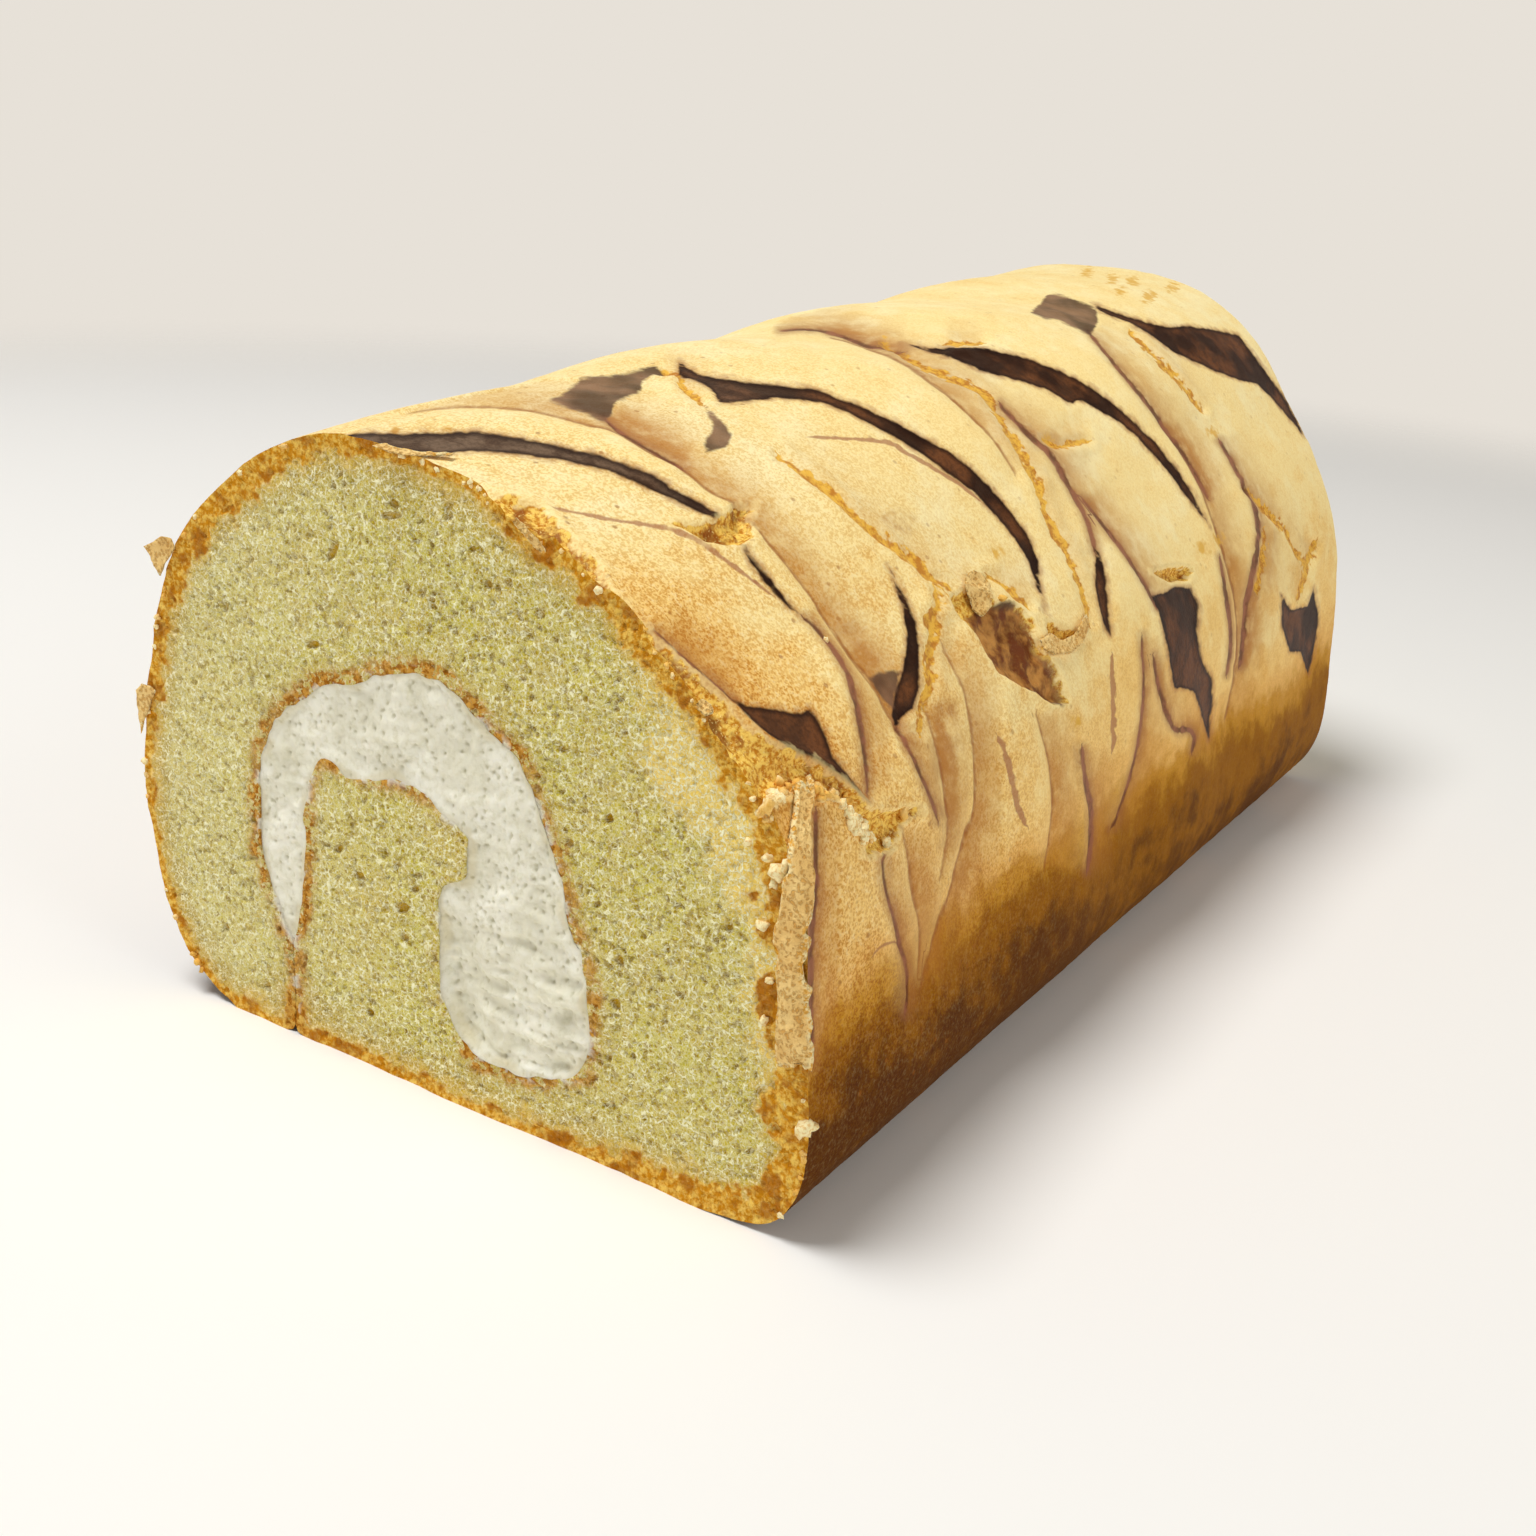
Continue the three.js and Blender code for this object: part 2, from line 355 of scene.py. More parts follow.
def section(points, depth, grip=1.0):
    """Where points of the front outline come at a depth. The push outwards grows with grip."""
    x, z = points[:, 0], points[:, 1]
    share = np.clip(depth, 0, ROLL_LENGTH) / ROLL_LENGTH
    angle = np.arctan2(z - FRONT_HEIGHT / 2, x)
    turned = np.minimum(np.abs(angle - SHOULDER_ANGLE) / SHOULDER_SPREAD, 1)
    push = SHOULDER_PUSH * np.cos(turned * np.pi / 2) ** 2 * np.sin(share * np.pi / 2)
    wave = np.sin(depth / LUMP_LENGTH * 2 * np.pi + LUMP_TURN * angle)
    push = push + LUMP_HEIGHT * wave * smooth_step(z, 0, BASE_FADE) * np.sin(share * np.pi)
    push = push * grip
    return np.stack([x + push * np.cos(angle), z * rise(depth) + push * np.sin(angle)], axis=1)


def solid_point(flat, depth):
    return np.stack([flat[:, 0], FRONT + depth, flat[:, 1]], axis=1)


def camera_axes():
    """The camera's right, up and back directions."""
    back = np.array([
        math.sin(CAMERA_AZIMUTH) * math.cos(CAMERA_ELEVATION),
        -math.cos(CAMERA_AZIMUTH) * math.cos(CAMERA_ELEVATION),
        math.sin(CAMERA_ELEVATION),
    ])
    level = np.cross((0, 0, 1), back)
    level /= np.linalg.norm(level)
    upright = np.cross(back, level)
    right = math.cos(CAMERA_ROLL) * level + math.sin(CAMERA_ROLL) * upright
    up = math.cos(CAMERA_ROLL) * upright - math.sin(CAMERA_ROLL) * level
    return right, up, back


def picture_place(places):
    """The pixel at which each place shows, and the millimetres that a pixel spans there."""
    right, up, back = camera_axes()
    focal = CAMERA_LENS / SENSOR * IMAGE_SIDE
    away = places - np.array(CAMERA_PLACE)
    far = -(away @ back)
    across = IMAGE_SIDE / 2 + focal * (away @ right) / far
    down = IMAGE_SIDE / 2 - focal * (away @ up) / far
    return np.stack([across, down], axis=1), far / focal


SKIN_STEP = 0.62
BASE_STEP = 2.2
SKIN_ROWS = 231
FRONT_ROW_SHARE = 0.605


def skin_line():
    """The skin round the front cut, from the seam's left lip over the top to its right lip."""
    left = SEAM_X - LIP_GAP / 2
    right = SEAM_X + LIP_GAP / 2
    over = spline([(x * HALF_WIDTH, z * FRONT_HEIGHT) for x, z in SKIN], 900)
    left_lip = np.array([(left, 3.0), (left, 1.2), (left - 0.4, 0.35), (left - 1.3, 0)])
    right_lip = np.array([(right + 1.3, 0), (right + 0.4, 0.35), (right, 1.2), (right, 3.0)])
    left_base = spaced(np.array([left_lip[-1], over[0]]), BASE_STEP)[1:-1]
    right_base = spaced(np.array([over[-1], right_lip[0]]), BASE_STEP)[1:-1]
    return np.vstack([left_lip, left_base, spaced(over, SKIN_STEP), right_base, right_lip])


# ---------------------------------------------------------------------------------------------------------
# Meshes and materials


def make_mesh(name, places, faces, attributes=None, uv=None, smooth=True):
    """A mesh object from places in millimetres, with numbers or vectors stored on its points."""
    mesh = bpy.data.meshes.new(name)
    mesh.from_pydata((places * MM).tolist(), [], faces.tolist() if hasattr(faces, "tolist") else faces)
    for key, values in (attributes or {}).items():
        values = np.asarray(values, np.float32)
        kind, field = ("FLOAT", "value") if values.ndim == 1 else ("FLOAT_VECTOR", "vector")
        mesh.attributes.new(key, kind, "POINT").data.foreach_set(field, values.ravel())
    if uv is not None:
        corners = np.zeros(len(mesh.loops), np.int32)
        mesh.loops.foreach_get("vertex_index", corners)
        layer = mesh.uv_layers.new(name="OFBake")
        uv = uv if len(uv) == len(corners) else uv[corners]
        layer.data.foreach_set("uv", uv.astype(np.float32).ravel())
    mesh.polygons.foreach_set("use_smooth", np.full(len(mesh.polygons), smooth))
    mesh.update()
    mesh.validate()
    piece = bpy.data.objects.new(name, mesh)
    bpy.context.scene.collection.objects.link(piece)
    return piece


def paint(red, green, blue):
    """A colour given as it shows on a screen, from 0 to 255, as the shader wants it."""
    shown = [value / 255 for value in (red, green, blue)]
    linear = [c / 12.92 if c <= 0.04045 else ((c + 0.055) / 1.055) ** 2.4 for c in shown]
    return (*linear, 1.0)


class Value:
    """What one node gives, so that shader code reads as plain sums."""

    def __init__(self, shader, socket):
        self.shader = shader
        self.socket = socket

    def __mul__(self, other):
        return self.shader.maths("MULTIPLY", self, other)

    def __add__(self, other):
        return self.shader.maths("ADD", self, other)

    def __sub__(self, other):
        return self.shader.maths("SUBTRACT", self, other)

    def __rsub__(self, other):
        return self.shader.maths("SUBTRACT", other, self)

    def fade(self, low, high, to_low=0.0, to_high=1.0):
        """A smooth change from one number to another as the value goes from low to high."""
        sockets = {0: self, 1: low, 2: high, 3: to_low, 4: to_high}
        return self.shader.value("MapRange", sockets, interpolation_type="SMOOTHSTEP")

    def coat(self, share, colour, blend="MIX"):
        """This colour with a share of another laid over it."""
        return self.shader.mix(share, self, colour, blend)


class Shader:
    """Short calls for the nodes of one material."""

    def __init__(self, name):
        self.material = bpy.data.materials.new(name)
        self.material.use_nodes = True
        self.tree = self.material.node_tree
        self.tree.nodes.clear()
        self.coordinates = self.value("TexCoord", output="Object")

    def add(self, kind, inputs=None, **settings):
        node = self.tree.nodes.new("ShaderNode" + kind)
        for key, value in settings.items():
            setattr(node, key, value)
        for key, value in (inputs or {}).items():
            if isinstance(value, Value):
                self.tree.links.new(value.socket, node.inputs[key])
            else:
                node.inputs[key].default_value = value
        return node

    def value(self, kind, inputs=None, output=0, **settings):
        return Value(self, self.add(kind, inputs, **settings).outputs[output])

    def maths(self, operation, first, second=0.0):
        return self.value("Math", {0: first, 1: second}, operation=operation)

    def mix(self, share, first, second, blend="MIX"):
        sockets = {0: share, 6: first, 7: second}
        return self.value("Mix", sockets, 2, data_type="RGBA", blend_type=blend)

    def noise(self, size, detail=2.0, rough=0.5):
        """Noise from 0 to 1 with swells of a size in millimetres."""
        scale = 1 / (size * MM)
        sockets = {"Vector": self.coordinates, "Scale": scale, "Detail": detail, "Roughness": rough}
        return self.value("TexNoise", sockets)

    def cells(self, size, feature="F1"):
        sockets = {"Vector": self.coordinates, "Scale": 1 / (size * MM)}
        return self.value("TexVoronoi", sockets, "Distance", feature=feature)

    def parts(self, vector):
        return [Value(self, part) for part in self.add("SeparateXYZ", {0: vector}).outputs]

    def stored(self, name):
        return self.value("Attribute", output="Fac", attribute_name=name)

    def stored_parts(self, name):
        return self.parts(self.value("Attribute", output="Vector", attribute_name=name))

    def bump(self, height, distance, strength=1.0):
        sockets = {"Height": height, "Distance": distance * MM, "Strength": strength}
        return self.value("Bump", sockets)

    def surface(self, value):
        self.add("OutputMaterial", {"Surface": value})
        return self.material

    def finish(self, sockets):
        return self.surface(self.value("BsdfPrincipled", sockets))


# ---------------------------------------------------------------------------------------------------------
# The skin

PICTURE_OUTLINES = {
    "streak": DARK_STREAKS, "mauve": MAUVE_PATCHES, "torn": TORN_PATCHES, "stain": STAINS,
}
PICTURE_LINES = {
    "dark_line": DARK_LINES, "pink_line": PINK_LINES, "fold": FOLDS, "crack": GOLD_CRACKS,
}
# How high each kind of line lifts one side of the skin, in millimetres, and how strongly it lays painted
# shade and painted light beside it.
LINE_PLEATS = {"fold": 0.6, "dark_line": 0.5, "crack": 0.4}
LINE_SHADES = {"dark_line": 0.7, "fold": 0.75, "crack": 0.3}
# How softly the skin steps at a line, and how far the step, the painted shade and the painted light reach
# from it.
STEP_SOFTNESS = 1.4
STEP_REACH = 4
SHADE_REACH = 3.2
LIGHT_REACH = 2
FAR = 40.0
LINE_SMOOTHING = 4
NEAR_PIXELS = 24.0
HORIZON = 0.02
HIDDEN_SEED = 7


def lay_outlines(places, scale, seen, outlines):
    """Distance in millimetres to the nearest of some closed outlines, negative inside."""
    result = np.full(len(places), FAR)
    for outline in outlines:
        outline = np.array(outline, float)
        low, high = outline.min(0) - NEAR_PIXELS, outline.max(0) + NEAR_PIXELS
        near = np.flatnonzero(seen & (places > low).all(1) & (places < high).all(1))
        away = outline_distance(places[near], outline) * scale[near]
        result[near] = np.minimum(result[near], away)
    return result


def lay_lines(places, scale, seen, lines):
    """For each place: signed offset from the nearest line, distance to it and its half width; then, from
    all the lines together, how far the skin steps, the painted shade on the low side and the painted light
    on the high one.
    """
    offset = np.full(len(places), FAR)
    distance = np.full(len(places), FAR)
    half = np.zeros(len(places))
    step, shade, light = np.zeros((3, len(places)))
    for width, points in lines:
        line = spline(points, LINE_SMOOTHING * (len(points) - 1))
        low, high = line.min(0) - NEAR_PIXELS, line.max(0) + NEAR_PIXELS
        near = np.flatnonzero(seen & (places > low).all(1) & (places < high).all(1))
        away, side, along = nearest_on(places[near], line)
        taper = 0.35 + 0.65 * np.sqrt(np.clip(np.sin(np.pi * along), 0, 1))
        away = away * scale[near]
        chosen = away < distance[near]
        distance[near] = np.minimum(distance[near], away)
        offset[near] = np.where(chosen, away * side, offset[near])
        half[near] = np.where(chosen, width * taper * scale[near], half[near])
        ease = np.sqrt(np.clip(np.sin(np.pi * along), 0, 1))
        step[near] += np.tanh(away * side / STEP_SOFTNESS) * ridge(away, STEP_REACH) * ease
        # Painted shade on the low side of each line, painted light on its high side.
        shade[near] += (side < 0) * ridge(away, SHADE_REACH) * ease
        light[near] += (side > 0) * ridge(away, LIGHT_REACH) * ease
    return np.stack([offset, distance, half, step, shade, light], axis=1)


def lay_spots(places, scale, seen, spots):
    result = np.full(len(places), FAR)
    for across, down, radius in spots:
        away = (np.hypot(places[:, 0] - across, places[:, 1] - down) - radius) * scale
        result = np.where(seen, np.minimum(result, away), result)
    return result


def hidden_marks(seed):
    """Marks of the same kinds for the side that the camera doesn't see, laid by arc and depth."""
    draw = np.random.default_rng(seed)
    marks = {"streak": [], "dark_line": [], "fold": [], "crack": []}
    depth = 2.0
    share = np.linspace(0, 1, 9)
    while depth < ROLL_LENGTH + 20:
        depth += draw.uniform(9, 21)
        low = draw.uniform(10, 44)
        high = draw.uniform(max(low + 34, 78), 112)
        bow, power, swing = draw.uniform(8, 34), draw.uniform(1.2, 2.6), draw.uniform(-2.5, 2.5)
        arc = np.linspace(low, high, 9)
        middle = depth - bow * share**power + swing * np.sin(share * 2 * np.pi) + draw.normal(0, 0.3, 9)
        chance = draw.random()
        kind = "fold" if chance < 0.3 else "crack" if chance < 0.45 else "dark_line"
        half = 0.4 if kind == "dark_line" else 0.35
        marks[kind].append((half, list(zip(arc, middle))))
        if kind == "dark_line":
            start = draw.integers(0, 4)
            part = slice(start, start + draw.integers(4, 7))
            thick = draw.uniform(1.2, 4.0) * np.sin(np.linspace(0.06, 0.97, len(arc[part])) * np.pi)
            upper = list(zip(arc[part], middle[part] + thick))
            lower = list(zip(arc[part], middle[part] - thick * 0.4))
            marks["streak"].append(upper + lower[::-1])
    return marks


def merge_lines(first, second):
    """Two sets of laid lines as one: the nearer line at each place, and the sum of what they all add."""
    merged = np.where((first[:, 1] < second[:, 1])[:, None], first, second)
    merged[:, 3:] = first[:, 3:] + second[:, 3:]
    return merged


def skin_marks(places, arc, depth, facing):
    """What is laid on the skin: distances to the outlines and spots, and what lay_lines gives."""
    shown = (*picture_place(places), facing > HORIZON)
    hidden = (np.stack([arc, depth], axis=1), np.ones(len(places)), facing < -HORIZON)
    marks = {
        name: lay_outlines(*shown, outlines) + horizon_fade(places, facing)
        for name, outlines in PICTURE_OUTLINES.items()
    }
    marks.update({name: lay_lines(*shown, lines) for name, lines in PICTURE_LINES.items()})
    marks["spot"] = lay_spots(*shown, GOLD_SPOTS)
    unseen = hidden_marks(HIDDEN_SEED)
    marks["streak"] = np.minimum(marks["streak"], lay_outlines(*hidden, unseen.pop("streak")))
    for name, lines in unseen.items():
        marks[name] = merge_lines(marks[name], lay_lines(*hidden, lines))
    return marks


def horizon_fade(places, facing):
    """What closes the picture's outlines, in millimetres, where the skin turns away from the camera."""
    fade = 5 * smooth_step(0.06 * noise(places, 5, 9) - facing, -0.13, -0.03)
    return np.where(facing > HORIZON, fade, 0)


def ridge(distance, width):
    return np.exp(-((distance / width) ** 2))


def skin_relief(marks, places):
    """How far the skin stands out, in millimetres."""
    fine = 0.07 * layered_noise(places, 1.6, 11, 3) + 0.05 * layered_noise(places, 5, 21, 2)
    fold, crack = marks["fold"][:, 1], marks["crack"][:, 1]
    pleats = sum(height * marks[name][:, 3] for name, height in LINE_PLEATS.items())
    folds = pleats - 0.3 * ridge(fold, 0.8) - 0.35 * np.exp(-fold / 3.5)
    lips = 0.25 * ridge(crack - 1.2, 0.6) * (1 + noise(places, 2.5, 5))
    cracks = -0.3 * ridge(crack, 0.8) * (1 + noise(places, 1.5, 6)) + lips - 0.2 * np.exp(-crack / 4)
    lines = -0.22 * ridge(marks["dark_line"][:, 1], 0.5) - 0.15 * ridge(marks["pink_line"][:, 1], 0.6)
    peeled = -0.22 * smooth_step(-marks["streak"], -0.9, 0.9)
    patches = -0.15 * smooth_step(-marks["mauve"], -0.2, 0.8) * (1 + 1.5 * noise(places, 3, 8))
    spots = -0.08 * smooth_step(-marks["spot"], -0.2, 0.5)
    rough = layered_noise(places, 1.8, 31, 3)
    inside = smooth_step(-marks["torn"], -0.15, 0.35)
    deep = np.clip(-marks["torn"], 0, 6)
    torn = -inside * (0.9 + 0.3 * deep + 0.7 * rough) + 0.25 * ridge(marks["torn"] - 0.4, 0.4)
    return fine + folds + cracks + lines + peeled + patches + spots + torn


def browning_and_shade(places, normals, depth):
    """How brown the skin is, from 0 to 1: pale on top and further back, browner down the sides and darkest
    low down, partly its browning and partly painted shade.
    """
    up = normals[:, 1]
    low = 1 - places[:, 2] / FRONT_HEIGHT
    far = depth / ROLL_LENGTH
    near = np.exp(-depth / 15)
    # Browner down the sides and darker towards the base: partly the skin's browning, partly painted shade.
    amount = 0.1 + 0.33 * smooth_step(-up, -0.8, 0.3) * (1 - 0.3 * far)
    amount += 0.58 * smooth_step(low - 0.06 * near, 0.52, 0.8)
    amount += 0.25 * near * ridge(places[:, 2] - 62, 9)
    amount += 0.3 * np.exp(-depth / 26) * smooth_step(-up, -0.97, -0.6) * smooth_step(up, 0.05, 0.6)
    amount += 0.1 * np.exp(-depth / 24) * smooth_step(-up, -0.4, 0.1)
    amount += 0.06 * layered_noise(places, 30, 41, 3)
    return np.clip(amount, 0, 1)


def skin_frame():
    """The plain skin before any relief: its points by column and row, and their arc, depth and normals."""
    line = skin_line()
    arc = arc_lengths(line)
    share = np.linspace(0, 1, SKIN_ROWS + 1)
    rows = FRONT_ROW_SHARE * share + (1 - FRONT_ROW_SHARE) * share**2
    edge = np.stack([arc, np.zeros(len(arc))], axis=1)
    front = 0.35 + 0.35 * layered_noise(edge, 5, 51, 4)
    rear = 0.35 + 0.35 * layered_noise(edge, 5, 61, 4)
    depth = front[:, None] + (ROLL_LENGTH - front - rear)[:, None] * rows
    columns = np.repeat(line, len(rows), axis=0)
    flat = section(columns, depth.ravel()).reshape(len(line), len(rows), 2)
    slope = np.gradient(flat, axis=0)
    normals = np.stack([-slope[..., 1], slope[..., 0]], axis=2)
    normals /= np.linalg.norm(normals, axis=2, keepdims=True)
    return line, arc, depth, flat, normals


def make_skin():
    """The browned skin round the roll, and the places of its front and rear rims."""
    line, arc, depth, flat, normals = skin_frame()
    count, rows = depth.shape
    depth_flat, normals_flat = depth.ravel(), normals.reshape(-1, 2)
    arc_flat = np.repeat(arc, rows)
    places = solid_point(flat.reshape(-1, 2), depth_flat)
    outward = np.stack([normals_flat[:, 0], np.zeros(count * rows), normals_flat[:, 1]], axis=1)
    toward = np.array(CAMERA_PLACE) - places
    toward /= np.linalg.norm(toward, axis=1, keepdims=True)
    facing = (outward * toward).sum(1)
    marks = skin_marks(places, arc_flat, depth_flat, facing)
    relief = skin_relief(marks, places) * smooth_step(places[:, 2], 0.2, 4)
    brown = browning_and_shade(places, normals_flat, depth_flat)
    places = places + outward * relief[:, None]
    attributes = {
        "marks": np.stack([marks["streak"], marks["mauve"], marks["torn"]], axis=1),
        "spots": np.stack([marks["spot"], marks["stain"], depth_flat], axis=1),
        # brown carries the browning together with the painted shade down the sides and near the base.
        "brown": brown,
        # sides holds the painted shade on the low side of the lines, the painted light on the high side,
        # and a weighted sum of distances.
        "sides": sum(share * marks[name][:, [4, 5, 1]] for name, share in LINE_SHADES.items()),
    }
    attributes.update({name: marks[name][:, :3] for name in PICTURE_LINES})
    uv = np.stack([0.01 + 0.98 * arc_flat / arc[-1], 0.01 + 0.98 * depth_flat / ROLL_LENGTH], axis=1)
    piece = make_mesh("skin", places, grid_faces(count, rows), attributes, uv)
    grid = places.reshape(count, rows, 3)
    torn = marks["torn"].reshape(count, rows)
    return piece, line, grid[:, 0], grid[:, -1], torn[:, 0]


class SkinShader(Shader):
    """The skin's stored numbers and noises, and the coats that are laid over its colour in turn."""

    def __init__(self):
        super().__init__("skin")
        self.streak, self.mauve, self.torn = self.stored_parts("marks")
        self.spot, self.stain, self.depth = self.stored_parts("spots")
        self.coarse = self.noise(9, 3)
        self.blotch = self.noise(3.2, 3, 0.6)
        self.grain = self.noise(0.62, 2, 0.7)
        self.fine = self.noise(0.3, 2, 0.6)
        self.wobble = self.noise(1.6, 2).fade(0.25, 0.75, -0.5, 0.5)
        browned = self.stored("brown") + self.coarse.fade(0.3, 0.7, -0.06, 0.06)
        self.browned = browned + self.blotch.fade(0.3, 0.7, -0.04, 0.04)
        self.streak_on = (self.streak + self.wobble * 0.18).fade(-0.2, 0.12, 1.0, 0.0)

    def line(self, name, wobble, soft=0.1):
        """1 on a laid line and 0 off it; wobble is the width's unevenness, as a share of it."""
        offset, distance, half = self.stored_parts(name)
        wide = half * (wobble + 1.0)
        on = (self.maths("ABSOLUTE", offset) - wide).fade(-soft, soft, 1.0, 0.0)
        return on * (distance - wide).fade(0.4, 0.6, 1.0, 0.0)

    def speckled(self, colour):
        """Brown dots, bright grain, dark specks and stains, stronger near the front."""
        near_front = self.depth.fade(10, 110, 1.0, 0.3)
        uneven = self.fine.fade(0.3, 0.7, -0.2, 0.2) + self.grain.fade(0.3, 0.7, -0.2, 0.2)
        dots = (self.cells(0.52) + uneven).fade(0.22, 0.55, 0.6, 0.0)
        stipple = (self.cells(0.36) + uneven).fade(0.25, 0.6, 1.0, 0.0)
        dots = self.maths("MAXIMUM", dots, stipple * self.browned.fade(0.1, 0.35, 0.5, 1.0))
        dots = dots * self.blotch.fade(0.3, 0.6, 0.6, 1.0) * near_front
        colour = colour.coat(dots, (0.7, 0.5, 0.24, 1.0), "MULTIPLY")
        bright = self.grain.fade(0.5, 0.7) * near_front * self.browned.fade(0.25, 0.6, 0.35, 0.06)
        colour = colour.coat(bright, paint(255, 242, 196))
        specks = self.cells(3.4).fade(0.06, 0.13, 1.0, 0.0) * near_front
        colour = colour.coat(specks * 0.6, paint(150, 84, 20))
        stained = self.stain.fade(-0.6, 1.2, 1.0, 0.0) * self.blotch.fade(0.3, 0.7)
        return colour.coat(stained * 0.7, paint(150, 84, 36))

    def folded(self, colour):
        """The painted shade on the low side and the painted light on the high side of the lines, then folds
        with painted shade in their creases, pink lines, golden cracks and spots.
        """
        low_side_shade, high_side_light, _ = self.stored_parts("sides")
        # Painted shade on the low side of the lines, and painted light on their high side.
        shade = self.maths("MINIMUM", low_side_shade, 0.85) * self.blotch.fade(0.25, 0.6, 0.6, 1.0)
        colour = colour.coat(shade, paint(182, 118, 44))
        colour = colour.coat(high_side_light * 0.45, paint(255, 226, 150))
        # Painted shade in the creases of the folds.
        colour = colour.coat(self.line("fold", self.wobble + 0.4, 0.2) * 0.7, paint(150, 84, 30))
        colour = colour.coat(self.line("pink_line", self.wobble) * 0.75, paint(164, 104, 72))
        gold = self.mix(self.noise(1.4, 3, 0.7).fade(0.4, 0.62), paint(238, 184, 60), paint(190, 118, 10))
        colour = colour.coat(self.line("crack", self.wobble * 3.0 + 1.1) * 0.9, gold)
        smudge = (self.spot + self.wobble * 1.6).fade(-0.6, 0.5, 0.8, 0.0)
        return colour.coat(smudge, paint(226, 172, 54))

    def streaked(self, colour):
        """The chocolate streaks and the dark lines, with a brown halo round both and a painted grey sheen
        on the streaks on top near the front.
        """
        fringe = (self.streak + self.wobble * 0.5).fade(-0.2, 0.7, 1.0, 0.0)
        colour = colour.coat(fringe * 0.6, paint(158, 92, 46))
        line_away = self.stored_parts("dark_line")[1].fade(0.15, 1.5, 1.0, 0.0)
        halo = line_away * self.blotch.fade(0.3, 0.6, 0.5, 1.0)
        colour = colour.coat(halo * 0.6, paint(158, 102, 60))
        ink = self.mix(self.blotch.fade(0.4, 0.62), paint(92, 42, 22), paint(150, 92, 66))
        colour = colour.coat(self.line("dark_line", self.wobble + 0.7, 0.16) * 0.86, ink)
        deep = self.mix(self.coarse.fade(0.4, 0.58), paint(52, 28, 14), paint(112, 68, 38))
        height = self.parts(self.coordinates)[2]
        # Painted sheen: a grey cast on the streaks on top near the front.
        painted_sheen = self.depth.fade(24, 70, 1.0, 0.0) * height.fade(0.068, 0.08)
        deep = deep.coat(painted_sheen, paint(120, 98, 78))
        deep = deep.coat(self.blotch.fade(0.44, 0.62, 0.0, 0.6), paint(64, 42, 28))
        deep = deep.coat(self.grain.fade(0.42, 0.62, 0.0, 0.3), paint(38, 22, 12))
        deep = deep.coat(self.streak.fade(-0.7, -0.15, 0.0, 1.0) * 0.8, paint(34, 16, 8))
        return colour.coat(self.streak_on, deep)

    def torn_open(self, colour):
        """The golden crumb in the torn places, with a pale lip."""
        lip = (self.torn + self.wobble).fade(0.1, 0.8, 1.0, 0.0)
        colour = colour.coat(lip * 0.4, paint(255, 232, 164))
        crumb = self.mix(self.grain.fade(0.35, 0.62), paint(196, 126, 10), paint(250, 210, 100))
        crumb = crumb.coat(self.blotch.fade(0.5, 0.64, 0.0, 0.85), paint(140, 70, 0))
        crumb = crumb.coat(self.fine.fade(0.58, 0.7, 0.0, 0.7), paint(255, 232, 150))
        return colour.coat((self.torn + self.wobble * 0.5).fade(-0.12, 0.08, 1.0, 0.0), crumb)

    def patched(self, colour):
        """The mauve patches, which are burnt brown where the skin is torn."""
        patch = self.mix(self.coarse.fade(0.36, 0.62), paint(142, 104, 76), paint(78, 52, 36))
        burnt = self.mix(self.blotch.fade(0.36, 0.6), paint(190, 132, 64), paint(106, 50, 14))
        patch = patch.coat(self.torn.fade(-0.6, 0.0, 1.0, 0.0), burnt)
        return colour.coat((self.mauve + self.wobble * 0.3).fade(-0.25, 0.25, 1.0, 0.0) * 0.93, patch)


def skin_material():
    skin = SkinShader()
    colour = skin_colours(skin, skin.browned)
    for coat in (skin.speckled, skin.folded, skin.streaked, skin.torn_open, skin.patched):
        colour = coat(colour)
    shine = skin.streak_on.fade(0.0, 1.0, 0.22, 0.1) * skin.browned.fade(0.45, 0.75, 1.0, 0.2)
    return skin.finish({
        "Base Color": colour, "Roughness": skin.streak_on.fade(0.0, 1.0, 0.62, 0.5),
        "Normal": skin.bump(skin.grain * 0.6 + skin.fine * 0.6, 0.16, 0.7), "Specular IOR Level": shine,
    })


def skin_colours(shader, browned):
    """The skin's colour from pale to dark brown."""
    ramp = shader.add("ValToRGB", {0: browned})
    ramp.color_ramp.interpolation = "EASE"
    ramp.color_ramp.elements[0].position = 0.0
    ramp.color_ramp.elements[0].color = paint(255, 238, 180)
    ramp.color_ramp.elements[1].color = paint(98, 56, 2)
    stops = [
        (0.15, paint(253, 228, 158)), (0.3, paint(247, 208, 126)), (0.45, paint(234, 184, 96)),
        (0.62, paint(200, 144, 36)), (0.8, paint(152, 98, 6)),
    ]
    for position, colour in stops:
        ramp.color_ramp.elements.new(position).color = colour
    return Value(shader, ramp.outputs[0])


# ---------------------------------------------------------------------------------------------------------
# The crumb and the cream

FACE_STEP = 0.294
REAR_STEP = 0.6
CHANNEL_STEP = 0.5
CREAM_STEP = 0.33
REAR_CREAM_STEP = 0.7
FRONT_SEED = 200
REAR_SEED = 300
# The core of the spiral, which has no brown line beside the cream, roughly, at the front cut.
CORE = np.array([(-19, 8), (-19, 36), (0, 36), (6, 30), (0, 6)], float)
# Where the rings of the channel's walls lie between the cuts: closer together near the front.
WALL_STATIONS = 12
WALL_SHARES = [(k / WALL_STATIONS) ** 1.5 for k in range(1, WALL_STATIONS)]


